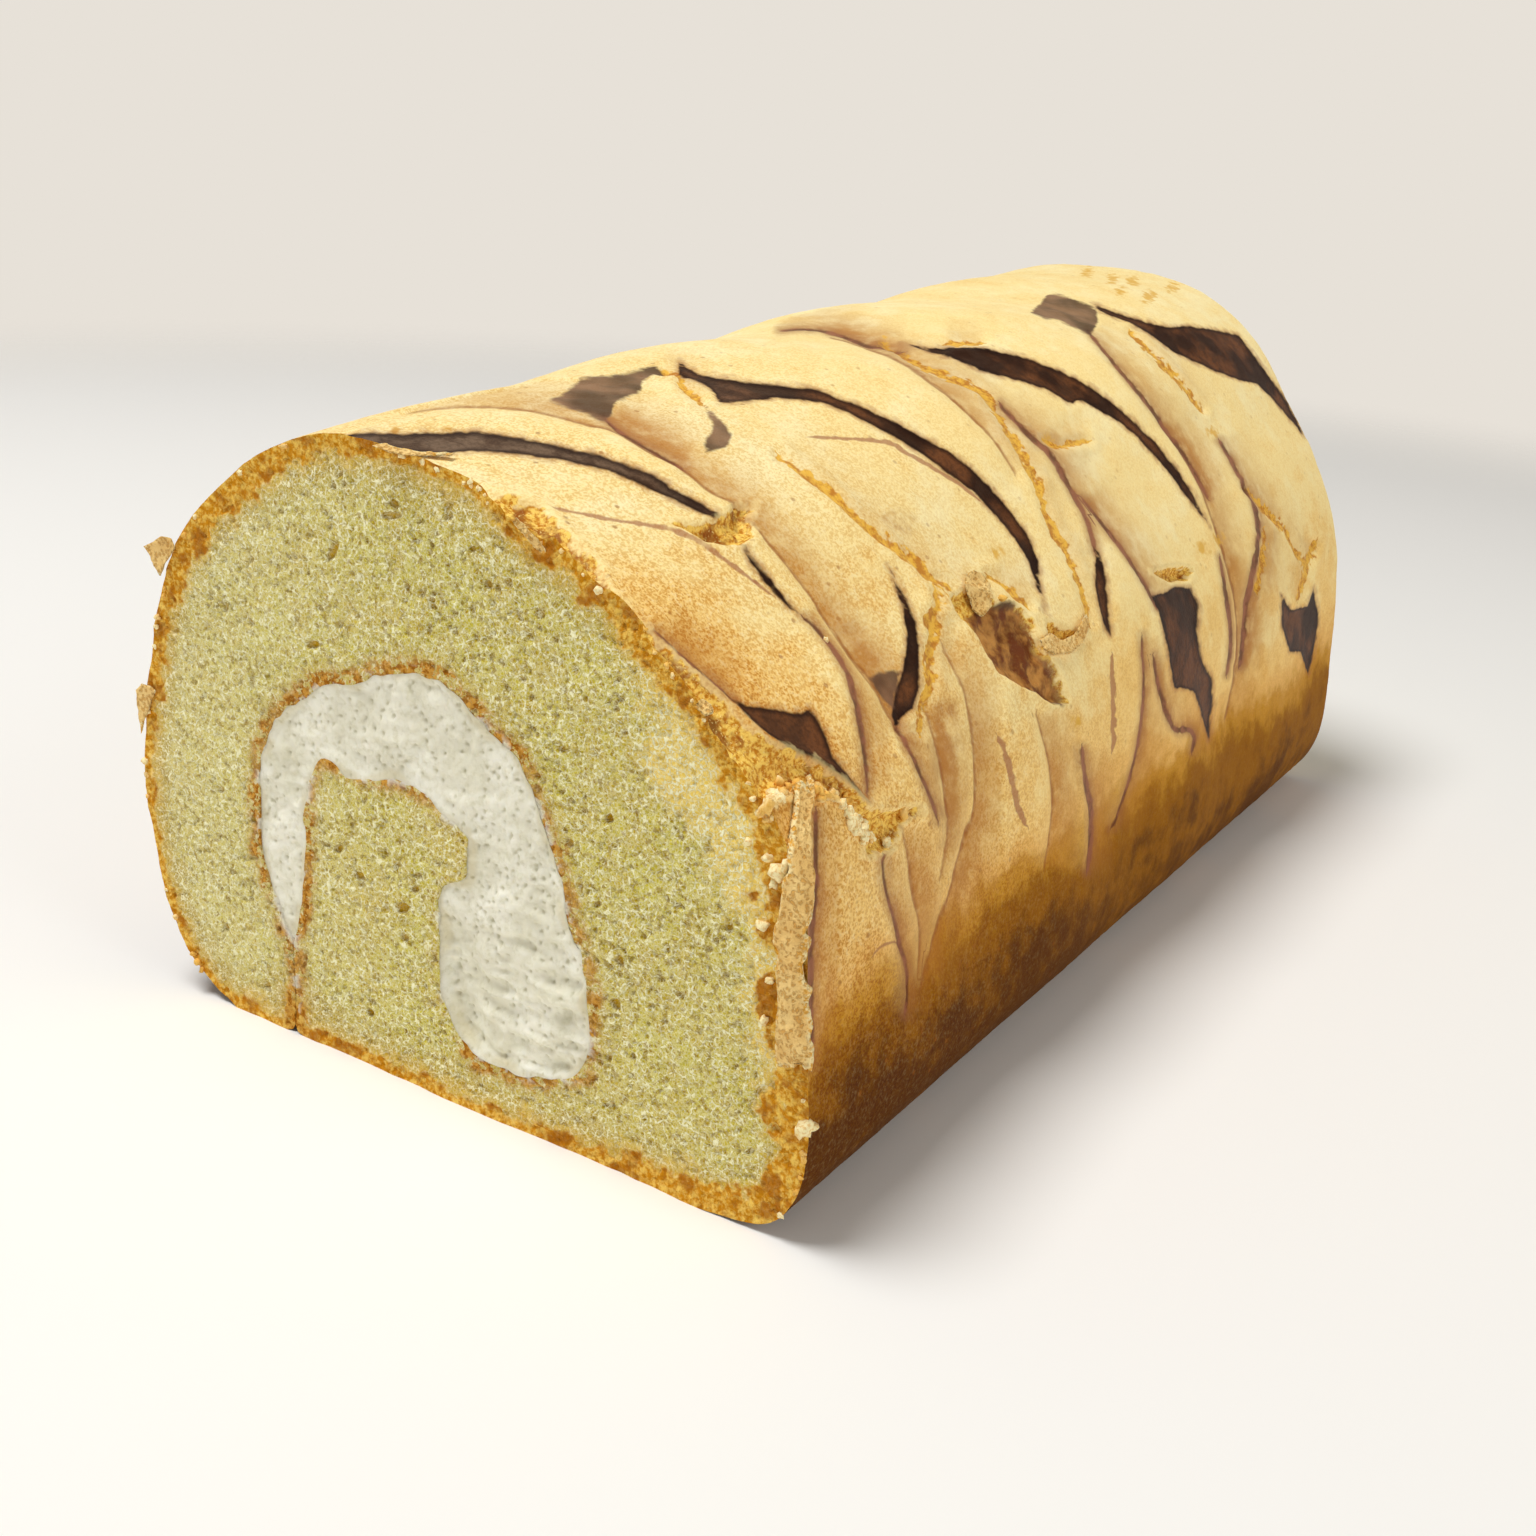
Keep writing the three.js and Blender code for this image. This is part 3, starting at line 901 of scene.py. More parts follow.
def seam_lips():
    """The two short walls of the seam, from the base up to the cream."""
    heights = np.arange(4, SEAM_TOP, 1.5)
    right = np.stack([np.full(len(heights), SEAM_X + LIP_GAP / 2), heights], axis=1)
    return right, right[::-1] - (LIP_GAP, 0)


def channel_line():
    """The edge of the cream at the front cut, with the small unevenness of spread cream."""
    line = spaced(spline(CHANNEL, 400), CHANNEL_STEP)
    slope = np.gradient(line, axis=0)
    across = np.stack([-slope[:, 1], slope[:, 0]], axis=1)
    across /= np.linalg.norm(across, axis=1, keepdims=True)
    ends = np.arange(len(line)) / 8
    hold = np.clip(np.minimum(ends, ends[::-1]), 0, 1)
    return line + across * (hold * (0.3 * noise(line, 1.6, 77) + 0.35 * noise(line, 5, 78)))[:, None]


def fill_outline(outline, step):
    """Points a step apart inside an outline, and the triangles that fill it with them."""
    low, high = outline.min(0), outline.max(0)
    across = np.arange(low[0], high[0], step)
    down = np.arange(low[1], high[1], step * math.sqrt(3) / 2)
    grid = np.stack(np.meshgrid(across, down), axis=2)
    grid[1::2, :, 0] += step / 2
    inner = grid.reshape(-1, 2)
    inner = inner[outline_distance(inner, outline[::2]) < -step * 0.55]
    points = np.vstack([outline, inner])
    count = len(outline)
    edges = [(k, (k + 1) % count) for k in range(count)]
    filled = delaunay_2d_cdt([Vector(p) for p in points.tolist()], edges, [], 1, 1e-7, False)
    triangles = np.array(filled[2])
    middles = points[triangles].mean(axis=1)
    return points, triangles[outline_distance(middles, outline) < 0]


def cut_map(cuts, columns, rows):
    """Texture places of the corners of a piece made of two cuts and the walls between them."""
    corners = []
    for (flat, triangles, *_), left, wide, turn in zip(cuts, (0.01, 0.71), (0.68, 0.28), (1, -1)):
        low, high = flat.min(0), flat.max(0)
        share = wide / (high[0] - low[0])
        across = left + wide / 2 + turn * (flat[:, 0] - (low[0] + high[0]) / 2) * share
        corners.append(np.stack([across, 0.01 + (flat[:, 1] - low[1]) * share], axis=1)[triangles.ravel()])
    across, down = np.meshgrid(np.linspace(0.01, 0.99, columns), np.linspace(0.66, 0.99, rows))
    index = np.arange(columns * rows).reshape(rows, columns)
    quads = np.stack([index[:-1, :-1], index[:-1, 1:], index[1:, 1:], index[1:, :-1]], axis=2)
    corners.append(np.stack([across.ravel(), down.ravel()], axis=1)[quads.ravel()])
    return np.vstack(corners)


def crumb_pores(flat, seed):
    """Depth of the pores of a cut face: many shallow bowls between thin walls, and a few deep ones."""
    bent = flat + 0.3 * np.stack([noise(flat, 1.1, seed + 11), noise(flat, 1.1, seed + 12)], axis=1)
    best, second, tag = bubbles(bent, 0.95, seed)
    small = smooth_step(second - best, 0.04, 0.55) * (0.12 + 0.88 * tag**2)
    best, second, tag = bubbles(bent, 1.9, seed + 1)
    middling = smooth_step(0.36 - best, 0, 0.3) * np.where(tag > 0.8, tag, 0)
    best, second, tag = bubbles(bent, 6.0, seed + 3)
    large = smooth_step(0.13 - best, 0, 0.08) * np.where(tag > 0.9, tag, 0)
    patches = smooth_step(layered_noise(flat, 9, seed + 21, 2), -0.7, 0.5)
    grain = layered_noise(flat, 0.7, seed + 5, 2)
    return (0.6 + 0.5 * patches) * (0.36 * small + 0.42 * middling) + 0.7 * large + 0.1 * grain


# Larger pores of the front cut: pixel, width and height in pixels, and the slant in degrees.
PORES = [
    (331, 552, 10, 24, 25), (390, 516, 24, 10, 0), (311, 645, 15, 10, 0), (251, 680, 6, 25, 0),
    (447, 518, 10, 8, 0), (337, 849, 11, 9, 0), (401, 909, 14, 12, 0), (560, 750, 8, 8, 0),
    (620, 700, 9, 7, 20), (520, 620, 8, 7, 0), (430, 600, 8, 6, 0), (250, 560, 7, 9, 0),
    (480, 880, 16, 10, 0), (596, 905, 9, 8, 0), (660, 980, 10, 8, 0), (220, 790, 8, 8, 0),
]


def large_pores(pixels, scale):
    """Depth of the pores that are placed one by one."""
    depth = np.zeros(len(pixels))
    for across, down, wide, tall, slant in PORES:
        turn = math.radians(slant)
        x, y = pixels[:, 0] - across, pixels[:, 1] - down
        u = (x * math.cos(turn) + y * math.sin(turn)) / wide * 2
        v = (y * math.cos(turn) - x * math.sin(turn)) / tall * 2
        size = min(wide, tall) * scale
        depth += size * 0.6 * smooth_step(1.15 - np.hypot(u, v), 0, 0.7)
    return depth


def face_depth(flat, skin_away, rim_depth, seed):
    """Depth of a cut face behind the cut: uneven, and drawn back to the rim at its edge."""
    plain = 0.45 + 0.35 * layered_noise(flat, 14, seed, 3)
    near = np.exp(-((skin_away / 2.2) ** 1.3))
    return plain * (1 - near) + rim_depth * near


def crumb_cut(outline, line, channel, rim, rim_torn, rear):
    """One cut face of the sponge: its flat points, triangles, places and what is stored on them."""
    flat, triangles = fill_outline(outline, REAR_STEP if rear else FACE_STEP)
    skin_away, _, along = nearest_on(flat, line[::2])
    cream_away = nearest_on(flat, np.vstack([[(SEAM_X, 0)], channel[::2]]))[0]
    column = np.clip(np.rint(along * (len(line) - 1)).astype(int), 0, len(line) - 1)
    rim_depth = np.abs(rim[column, 1] - (FRONT + ROLL_LENGTH if rear else FRONT))
    seed = REAR_SEED if rear else FRONT_SEED
    depth = face_depth(flat, skin_away, rim_depth, seed)
    grip = cream_away / (cream_away + skin_away + 1e-6)
    pores = crumb_pores(flat, seed + 7) * smooth_step(skin_away, 0, 1) * smooth_step(cream_away, 0, 0.5)
    here = section(flat, np.full(len(flat), ROLL_LENGTH if rear else 0.0), grip)
    torn, pale = np.zeros((2, len(flat)))
    if not rear:
        pores += large_pores(*picture_place(solid_point(here, depth)))
        torn = np.clip(-rim_torn[column] / 2, 0, 1) * np.exp(-((skin_away / 3) ** 2))
        # pale holds the pale torn sponge together with painted light on the right shoulder.
        pale = pale_and_lit_crumb(flat, skin_away)
    depth[len(outline):] += pores[len(outline):]
    if rear:
        depth = ROLL_LENGTH - depth
        triangles = triangles[:, ::-1]
    places = solid_point(here, depth)
    drawn = rim[column] - solid_point(section(line[column], np.full(len(flat), depth.mean())), depth)
    drawn[:, 1] = 0
    places += drawn * np.exp(-((skin_away / 3.0) ** 2))[:, None]
    places[:len(line)] = rim
    stored = [skin_away, cream_away, band_widths(flat), pores, torn, channel_browning(flat), pale]
    return flat, triangles, places, np.stack(stored, axis=1)


def join_cuts(cuts, edge, ring, inner, wall_values):
    """Places, faces, stored numbers and texture places of two cuts and the walls between them. The walls
    go from the edge of the cuts through the inner rings, whose points follow each other as in ring."""
    first = len(cuts[0][2])
    total = first + len(cuts[1][2])
    rings = [edge] + [ring + total + k * len(inner[0]) for k in range(len(inner))] + [edge + first]
    faces = cuts[0][1].tolist() + (cuts[1][1] + first).tolist()
    for near, far in zip(rings[:-1], rings[1:]):
        faces += np.stack([near[:-1], near[1:], far[1:], far[:-1]], axis=1).tolist()
    places = np.vstack([cuts[0][2], cuts[1][2], *inner])
    walls = np.tile(np.array(wall_values, float), (len(places) - total, 1))
    stored = np.vstack([cuts[0][3], cuts[1][3], walls])
    return places, faces, stored, cut_map(cuts, len(edge), len(rings))


def make_crumb(line, front_rim, rear_rim, rim_torn):
    """The sponge's cut faces and the walls of the channel that the cream fills."""
    channel = channel_line()
    right_lip, left_lip = seam_lips()
    outline = np.vstack([line, right_lip, channel, left_lip])
    walls = np.arange(len(line) - 1, len(outline) + 1) % len(outline)
    cuts = [
        crumb_cut(outline, line, channel, rim, rim_torn, rear)
        for rim, rear in ((front_rim, False), (rear_rim, True))
    ]
    start, end = (cut[2][walls, 1] - FRONT for cut in cuts)
    inner = []
    for share in WALL_SHARES:
        depth = start + (end - start) * share
        ring = solid_point(section(outline[walls], depth, 0.0), depth)
        lips = [0, -1]
        ring[lips] = solid_point(section(outline[walls[lips]], depth[lips]), depth[lips])
        inner.append(ring)
    places, faces, stored, uv = join_cuts(cuts, walls, np.arange(len(walls)), inner, [30] + [0] * 6)
    attributes = {"edges": stored[:, :3], "crumb": stored[:, 3:6], "pale": stored[:, 6]}
    return make_mesh("crumb", places, faces, attributes, uv)


class CrumbShader(Shader):
    """The crumb's stored numbers and noises, and the coats that are laid over its colour in turn."""

    def __init__(self):
        super().__init__("crumb")
        self.skin_away, self.cream_away, self.band_width = self.stored_parts("edges")
        self.pores, self.torn, self.browned = self.stored_parts("crumb")
        self.coarse = self.noise(2.6, 3)
        self.grain = self.noise(0.8, 2, 0.7)
        self.fine = self.noise(0.34, 2, 0.6)
        self.wobble = self.coarse.fade(0.3, 0.7, -1.1, 1.1)
        uneven = self.fine.fade(0.3, 0.7, -0.1, 0.1)
        self.walls = (self.cells(0.8, "DISTANCE_TO_EDGE") + uneven).fade(0.02, 0.16, 1.0, 0.0)
        lace = (self.cells(0.42, "DISTANCE_TO_EDGE") + uneven).fade(0.02, 0.2, 1.0, 0.0)
        self.web = self.maths("MAXIMUM", self.walls * self.grain.fade(0.36, 0.56), lace * 0.45)
        crust = self.mix(self.grain.fade(0.38, 0.66), paint(208, 136, 10), paint(250, 208, 100))
        self.crust = crust.coat(self.coarse.fade(0.5, 0.66, 0.0, 0.8), paint(168, 92, 0))

    def ground(self):
        """The yellow sponge, with painted shade in its pores and holes, paler toward the left."""
        left = self.parts(self.coordinates)[0].fade(-0.05, 0.0, 0.5, 0.0)
        ground = self.mix(self.noise(14, 2).fade(0.35, 0.65), paint(212, 194, 80), paint(210, 197, 70))
        # Painted shade in the hollows of the cells.
        hole_shade = self.cells(0.8).fade(0.15, 0.55, 1.0, 0.0) * self.grain.fade(0.4, 0.6)
        ground = ground.coat(hole_shade * 0.9, paint(156, 122, 0))
        ground = ground.coat(self.coarse.fade(0.4, 0.65, 0.0, 0.45), paint(180, 152, 20))
        # Painted shade in the pores.
        ground = ground.coat(self.pores.fade(0.12, 0.4, 0.0, 0.85), paint(148, 114, 0))
        return ground.coat(left, paint(228, 216, 144))

    def webbed(self, colour):
        """The pale web between the pores, dark strokes of painted shade between the cells, and deep pores
        in it.
        """
        colour = colour.coat(self.web * 0.95, paint(255, 252, 212))
        # Painted shade: dark strokes between the cells.
        strokes = self.noise(0.75, 2, 0.6).fade(0.55, 0.66)
        colour = colour.coat(strokes * 0.6, paint(148, 114, 0))
        colour = colour.coat(self.pores.fade(0.4, 0.8, 0.0, 0.9), paint(214, 172, 24))
        return colour.coat(self.fine.fade(0.56, 0.7, 0.0, 0.4), paint(248, 242, 200))

    def fluffy(self, colour):
        """The whitish fringe inside the crust, and the bright torn sponge of the right shoulder, partly
        painted light.
        """
        fringe = (self.skin_away + self.wobble * 1.6).fade(2.5, 7.0, 1.0, 0.0)
        whitish = self.mix(self.web, paint(184, 150, 44), paint(255, 248, 206))
        colour = colour.coat(fringe * 0.65, whitish)
        # The right shoulder's brightness is partly pale torn sponge and partly painted light.
        lit = (self.stored("pale") + self.wobble * 0.2).fade(0.0, 0.85)
        torn_colour = self.mix(self.web, paint(244, 212, 104), paint(255, 252, 214))
        return colour.coat(lit * 0.95, torn_colour)

    def crusted(self, colour):
        """The browned edge under the skin, with a golden glow inside it."""
        inward = self.skin_away - self.band_width * (self.wobble * 0.34 + 1.0)
        colour = colour.coat(inward.fade(0.0, 2.2, 1.0, 0.0) * 0.5, paint(232, 190, 84))
        return colour.coat(inward.fade(-0.5, 0.35, 1.0, 0.0) * 0.92, self.crust)

    def beside_cream(self, colour):
        """The brown line of the sheet's inner skin, and smears of cream over it."""
        reach = self.cream_away + self.wobble * 0.5
        tint = reach.fade(0.8, 4.0, 1.0, 0.0) * self.browned
        colour = colour.coat(tint * 0.4, paint(204, 168, 96))
        line = reach.fade(1.0, 2.4, 1.0, 0.0) * self.noise(1.5, 3, 0.75).fade(0.44, 0.5)
        dots = self.mix(self.grain.fade(0.4, 0.6), paint(162, 96, 16), paint(216, 158, 66))
        colour = colour.coat(line * self.browned * 0.95, dots)
        smear = reach.fade(0.2, 1.6, 1.0, 0.0) * self.coarse.fade(0.56, 0.62)
        smear = smear * self.cream_away.fade(3.0, 4.0, 0.9, 0.0)
        return colour.coat(smear, paint(238, 236, 222))


def crumb_material():
    crumb = CrumbShader()
    colour = crumb.ground()
    for coat in (crumb.webbed, crumb.fluffy, crumb.crusted, crumb.beside_cream):
        colour = coat(colour)
    colour = colour.coat(crumb.torn * 0.85, crumb.crust)
    relief = crumb.grain * 0.6 + crumb.fine * 0.3 - (1.0 - crumb.walls) * 0.45
    return crumb.finish({
        "Base Color": colour, "Roughness": 0.9, "Normal": crumb.bump(relief, 0.3, 0.75),
        "Specular IOR Level": 0.0,
    })


def pale_and_lit_crumb(flat, skin_away):
    """Where the torn sponge shows bright and fluffy, partly as painted light: inside the right shoulder of
    the front cut.
    """
    angle = np.degrees(np.arctan2(flat[:, 1] - FRONT_HEIGHT / 2, flat[:, 0]))
    reach = 2 + 8.5 * ridge(angle - 17, 19) + 5 * ridge(angle + 20, 25)
    return smooth_step(reach * (1 + 0.25 * layered_noise(flat, 5, 75, 2)) - skin_away, -4, 4) * ridge(
        np.maximum(np.abs(angle - 12) - 22, 0), 18
    )


def band_widths(flat):
    """How deep the browned edge shows in a cut face, in millimetres: widest at the upper left."""
    angle = np.degrees(np.arctan2(flat[:, 1] - FRONT_HEIGHT / 2, flat[:, 0]))
    width = 1.6 + 2.2 * ridge(angle - 138, 22) + 0.8 * ridge(angle - 178, 24) + 1.4 * ridge(angle - 44, 12)
    width += 1.0 * ridge(angle - 62, 14) + 2.2 * ridge(angle - 12, 13) + 3.6 * ridge(angle + 20, 24)
    return width * (1 + 0.35 * layered_noise(flat, 4, 71, 3))


def channel_browning(flat):
    """Where the sheet's inner skin shows as a brown line beside the cream."""
    core = outline_distance(flat, CORE)
    amount = 0.12 + 0.88 * smooth_step(core, 0.5, 3)
    return np.clip(amount * (0.9 + 0.7 * layered_noise(flat, 4, 73, 2)), 0, 1)


def cream_relief(flat, away):
    """Depth of the cut cream behind the cut, its bubbles and its knife strokes."""
    x, z = flat[:, 0], flat[:, 1]
    bent = z - 0.06 * x + 1.3 * noise(flat, 8, 81)
    strokes = np.stack([x / 3.2, bent], axis=1)
    ridges = (1 - 2 * np.abs(noise(strokes, 1.9, 91))) * (0.6 + 0.9 * noise(flat, 3.5, 93))
    ridges += 0.5 * noise(strokes, 0.9, 92)
    low = smooth_step(-z, -34, -20) * smooth_step(x, -4, 1)
    best, second, tag = bubbles(flat, 1.15, 95)
    bubble = np.where(tag > 0.6, smooth_step(0.34 - best, 0, 0.25), 0)
    fluff = layered_noise(flat, 2.4, 97, 3)
    depth = 0.85 + 0.5 * layered_noise(flat, 9, 98, 2) + 0.34 * fluff - (0.14 + 0.42 * low) * ridges
    depth += 0.3 * bubble + 0.16 * layered_noise(flat, 0.9, 99, 2)
    depth += 1.3 * smooth_step(6 - np.hypot(x - 2, (z - 14) / 2.2), 0, 5)
    return 0.55 + (depth - 0.55) * smooth_step(away, 0, 1.2), bubble, ridges


def cream_cut(channel, rear):
    """One cut face of the cream, as crumb_cut gives it."""
    flat, triangles = fill_outline(channel, REAR_CREAM_STEP if rear else CREAM_STEP)
    away = nearest_on(flat, channel[::2])[0]
    depth, bubble, ridges = cream_relief(flat, away)
    here = section(flat, np.full(len(flat), ROLL_LENGTH if rear else 0.0), 0.0)
    if rear:
        depth = ROLL_LENGTH - depth
        triangles = triangles[:, ::-1]
    return flat, triangles, solid_point(here, depth), np.stack([away, bubble, ridges], axis=1)


def make_cream():
    """The whipped cream, with ridges and bubbles in its cut faces, running through the roll."""
    channel = channel_line()
    cuts = [cream_cut(channel, rear) for rear in (False, True)]
    inner = []
    for share in WALL_SHARES:
        depth = np.full(len(channel), ROLL_LENGTH * share)
        inner.append(solid_point(section(channel, depth, 0.0), depth))
    ring = np.r_[np.arange(len(channel)), 0]
    places, faces, stored, uv = join_cuts(cuts, ring, ring, inner, [0] * 3)
    return make_mesh("cream_filling", places, faces, {"cream": stored}, uv)


def cream_material():
    shader = Shader("cream")
    away, bubble, ridges = shader.stored_parts("cream")
    broad = shader.noise(6, 3)
    grain = shader.noise(0.9, 3, 0.6)
    colour = shader.mix(broad.fade(0.3, 0.7), paint(230, 227, 206), paint(248, 246, 230))
    colour = colour.coat(grain.fade(0.45, 0.75, 0.0, 0.5), paint(204, 200, 168))
    colour = colour.coat(bubble.fade(0.2, 0.9, 0.0, 0.4), paint(180, 174, 128))
    edge = away + broad.fade(0.3, 0.7, -0.6, 0.6)
    colour = colour.coat(edge.fade(0.1, 1.2, 0.3, 0.0), paint(206, 184, 120))
    normal = shader.bump(1.0 - grain, 0.3, 0.5)
    return shader.finish({
        "Base Color": colour, "Roughness": 0.55, "Normal": normal,
        "Subsurface Weight": 0.35, "Subsurface Radius": (1.0, 0.9, 0.7), "Subsurface Scale": 0.0015,
    })


# ---------------------------------------------------------------------------------------------------------
# Scraps of skin and crumbs

SCRAP_THICKNESS = 0.45
SCRAP_STEP = 3.0
# Each scrap is an outline in pixels, how far it stands off what is under it, in millimetres, and where
# nothing is under it the depth at which it hangs.
SCRAPS = [
    ([(372, 446), (386, 443), (399, 448), (420, 451), (440, 452), (456, 453), (450, 456), (430, 456),
      (410, 456), (390, 453)], 0.35, 2.0),
    ([(511, 520), (517, 518), (528, 529), (538, 540), (547, 550), (545, 555), (534, 547), (522, 534)],
     0.4, 2.0),
    ([(143, 547), (152, 543), (160, 536), (172, 538), (176, 548), (168, 560), (160, 577), (154, 566),
      (150, 556)], 0.2, 0.6),
    ([(136, 690), (141, 683), (150, 686), (157, 690), (152, 700), (146, 716), (141, 735), (138, 716)],
     0.2, 0.6),
    ([(694, 706), (702, 699), (712, 704), (714, 713), (704, 716)], 0.5, 1.5),
    ([(966, 575), (974, 570), (983, 574), (990, 585), (993, 598), (990, 610), (981, 617), (973, 610),
      (968, 598), (965, 586)], 0.5, 2.0),
    ([(1040, 640), (1050, 633), (1062, 640), (1074, 634), (1082, 622), (1086, 612), (1090, 624),
      (1084, 642), (1070, 654), (1055, 655), (1044, 650)], 0.8, 2.0),
]
# The folded strip that lies on the side along the right rim: its left and right edges in pixels.
FLAP_LEFT = [(796, 806), (793, 833), (791, 851), (785, 884), (781, 904), (779, 918), (775, 940),
             (778, 960), (777, 1000), (776, 1030), (779, 1058), (790, 1075)]
FLAP_RIGHT = [(811, 806), (809, 847), (812, 873), (811, 900), (808, 924), (804, 960), (806, 1000),
              (806, 1030), (808, 1060), (806, 1075)]
FLAP_TOP = 800
FLAP_FOOT = 1070
FLAP_STEP = 0.3
FLAP_COLUMNS = 17
FLAP_WIDTH = 5.0
# Crumbs of sponge: pixel and radius in millimetres.
CRUMB_PLACES = [
    (778, 872, 0.9), (786, 866, 0.7), (790, 878, 0.6), (762, 925, 0.7), (805, 1128, 1.0),
    (800, 1132, 0.7), (812, 1126, 0.6), (774, 884, 0.5), (768, 858, 0.6), (748, 842, 0.5),
    (826, 640, 0.4), (770, 980, 0.5), (764, 1020, 0.5), (903, 812, 0.7), (886, 842, 0.6),
    (872, 838, 0.5), (1079, 640, 0.6), (1002, 598, 0.6),
]
RIM_CRUMBS = 60
# Where a crumb has nothing under it, it hangs at this depth.
CRUMB_DEPTH = 2.0
CRUMB_SEED = 23
# The bright crumbly lip above the folded strip, in pixels.
LIP_LINE = [(764, 812), (768, 806), (775, 801), (784, 793), (793, 788), (803, 789), (812, 790), (822, 792),
            (832, 795), (842, 800), (850, 808), (856, 819), (862, 832), (866, 846)]
LIP_CRUMBS = 90


class Carrier:
    """Finds what lies under a pixel, so that scraps and crumbs rest on the roll."""

    def __init__(self, pieces):
        graph = bpy.context.evaluated_depsgraph_get()
        self.trees = [BVHTree.FromObject(piece, graph) for piece in pieces]
        self.axes = camera_axes()

    def ray(self, pixel):
        right, up, back = self.axes
        focal = CAMERA_LENS / SENSOR * IMAGE_SIDE
        across = (pixel[0] - IMAGE_SIDE / 2) / focal
        down = (pixel[1] - IMAGE_SIDE / 2) / focal
        line = across * right - down * up - back
        return line / np.linalg.norm(line)

    def reach(self, pixel, spare_depth):
        """How far from the camera the roll is at a pixel, or the plane at a depth if it isn't there."""
        line = self.ray(pixel)
        start = Vector(np.array(CAMERA_PLACE) * MM)
        hits = [tree.ray_cast(start, Vector(line))[3] for tree in self.trees]
        hits = [hit / MM for hit in hits if hit is not None]
        plane = (FRONT + spare_depth - CAMERA_PLACE[1]) / line[1]
        return min(hits) if hits else plane

    def place(self, pixel, above):
        """The place that stands some millimetres above what shows at a pixel, toward the camera."""
        return np.array(CAMERA_PLACE) + self.ray(pixel) * (self.reach(pixel, CRUMB_DEPTH) - above)


def smooth_reach(pixels, reach):
    """The reach as a flat sheet, so that a scrap doesn't copy the crumb under it."""
    x = (pixels[:, 0] - pixels[:, 0].mean()) / 20
    y = (pixels[:, 1] - pixels[:, 1].mean()) / 20
    terms = np.stack([np.ones(len(x)), x, y], axis=1)
    weight = np.linalg.lstsq(terms, reach, rcond=None)[0]
    return np.clip(terms @ weight, reach.min() - 0.3, reach.max() + 0.3)


def on_skin(line, arc, depth, lift):
    """Places on the plain skin by arc and depth, raised outward by a lift in millimetres."""
    along = arc_lengths(line)

    def at(arc_there):
        across = np.interp(arc_there, along, line[:, 0])
        return section(np.stack([across, np.interp(arc_there, along, line[:, 1])], axis=1), depth)

    slope = at(arc + 0.6) - at(arc - 0.6)
    outward = np.stack([-slope[:, 1], slope[:, 0]], axis=1)
    outward /= np.linalg.norm(outward, axis=1, keepdims=True)
    return solid_point(at(arc) + outward * lift[:, None], depth)


def around_rim(line, arc, across, lift):
    """Places on the side where across is positive and on the cut face where it is negative."""
    turn = math.pi / 2 * smooth_step(-across, -1, 1)
    places = on_skin(line, arc, np.maximum(across, 0), np.minimum(across, 0) + lift * np.cos(turn))
    places[:, 1] -= lift * np.sin(turn)
    return places


def across_at_edge(line, arc, edge):
    """How far from the rim an edge drawn in pixels crosses each arc station of the skin."""
    edge = np.array(edge, float)
    reach = np.arange(-4, 8, 0.25)
    result = []
    for station in arc:
        places = around_rim(line, np.full(len(reach), station), reach, np.full(len(reach), 0.6))
        pixels = picture_place(places)[0]
        ahead = pixels[:, 0] - np.interp(pixels[:, 1], edge[:, 1], edge[:, 0])
        result.append(np.interp(0, ahead, reach))
    return np.array(result)


def make_flap(line):
    """The strip of skin that is folded back along the right rim, thick and ragged at its ends."""
    along = arc_lengths(line)
    rim = picture_place(solid_point(section(line, np.zeros(len(line))), np.zeros(len(line))))[0]
    right = np.flatnonzero((line[:, 0] > 20) & (rim[:, 1] > FLAP_TOP) & (rim[:, 1] < FLAP_FOOT))
    stations = np.arange(along[right[0]], along[right[-1]], FLAP_STEP)
    left = across_at_edge(line, stations, FLAP_LEFT)
    right = across_at_edge(line, stations, FLAP_RIGHT)
    share = np.linspace(0, 1, FLAP_COLUMNS)
    arc = np.repeat(stations, FLAP_COLUMNS)
    across = np.tile(share, len(stations))
    over = across * FLAP_WIDTH
    flat = np.stack([arc, over], axis=1)
    jag = np.stack([noise(flat, 1.3, 211), noise(flat, 1.3, 212)], axis=1)
    reach = np.repeat(left, FLAP_COLUMNS) * (1 - across) + np.repeat(right, FLAP_COLUMNS) * across
    reach += 0.32 * jag[:, 0] + 0.2 * noise(flat, 6, 213)
    ends = np.minimum(arc - stations[0], stations[-1] - arc)
    arc = arc + jag[:, 1] * np.exp(-ends / 1.5)
    bulge = 0.95 + 0.25 * across - 0.35 * (2 * across - 1) ** 2
    ribs = 0.25 * ridge(over - 3.9, 0.4) + 0.15 * ridge(over - 0.5, 0.4)
    top = bulge + 0.2 * layered_noise(flat, 2, 214, 3) + ribs
    bottom = top - 0.5 - 0.5 * smooth_step(-reach, -1.5, 1.0)
    upper = around_rim(line, arc, reach, top)
    lower = around_rim(line, arc, reach, bottom)
    index = np.arange(len(arc)).reshape(len(stations), FLAP_COLUMNS)
    faces = grid_faces(len(stations), FLAP_COLUMNS)
    ring = np.r_[index[0, :], index[1:, -1], index[-1, -2::-1], index[-2:0:-1, 0]]
    after = np.roll(ring, -1)
    count = len(arc)
    sides = np.stack([ring, after, after + count, ring + count], axis=1)
    everything = np.vstack([faces, faces[:, ::-1] + count, sides])
    edge = np.minimum(np.minimum(across, 1 - across) * FLAP_WIDTH, ends)
    return make_mesh("skin_flap", np.vstack([upper, lower]), everything, {"edge": np.r_[edge, edge]})


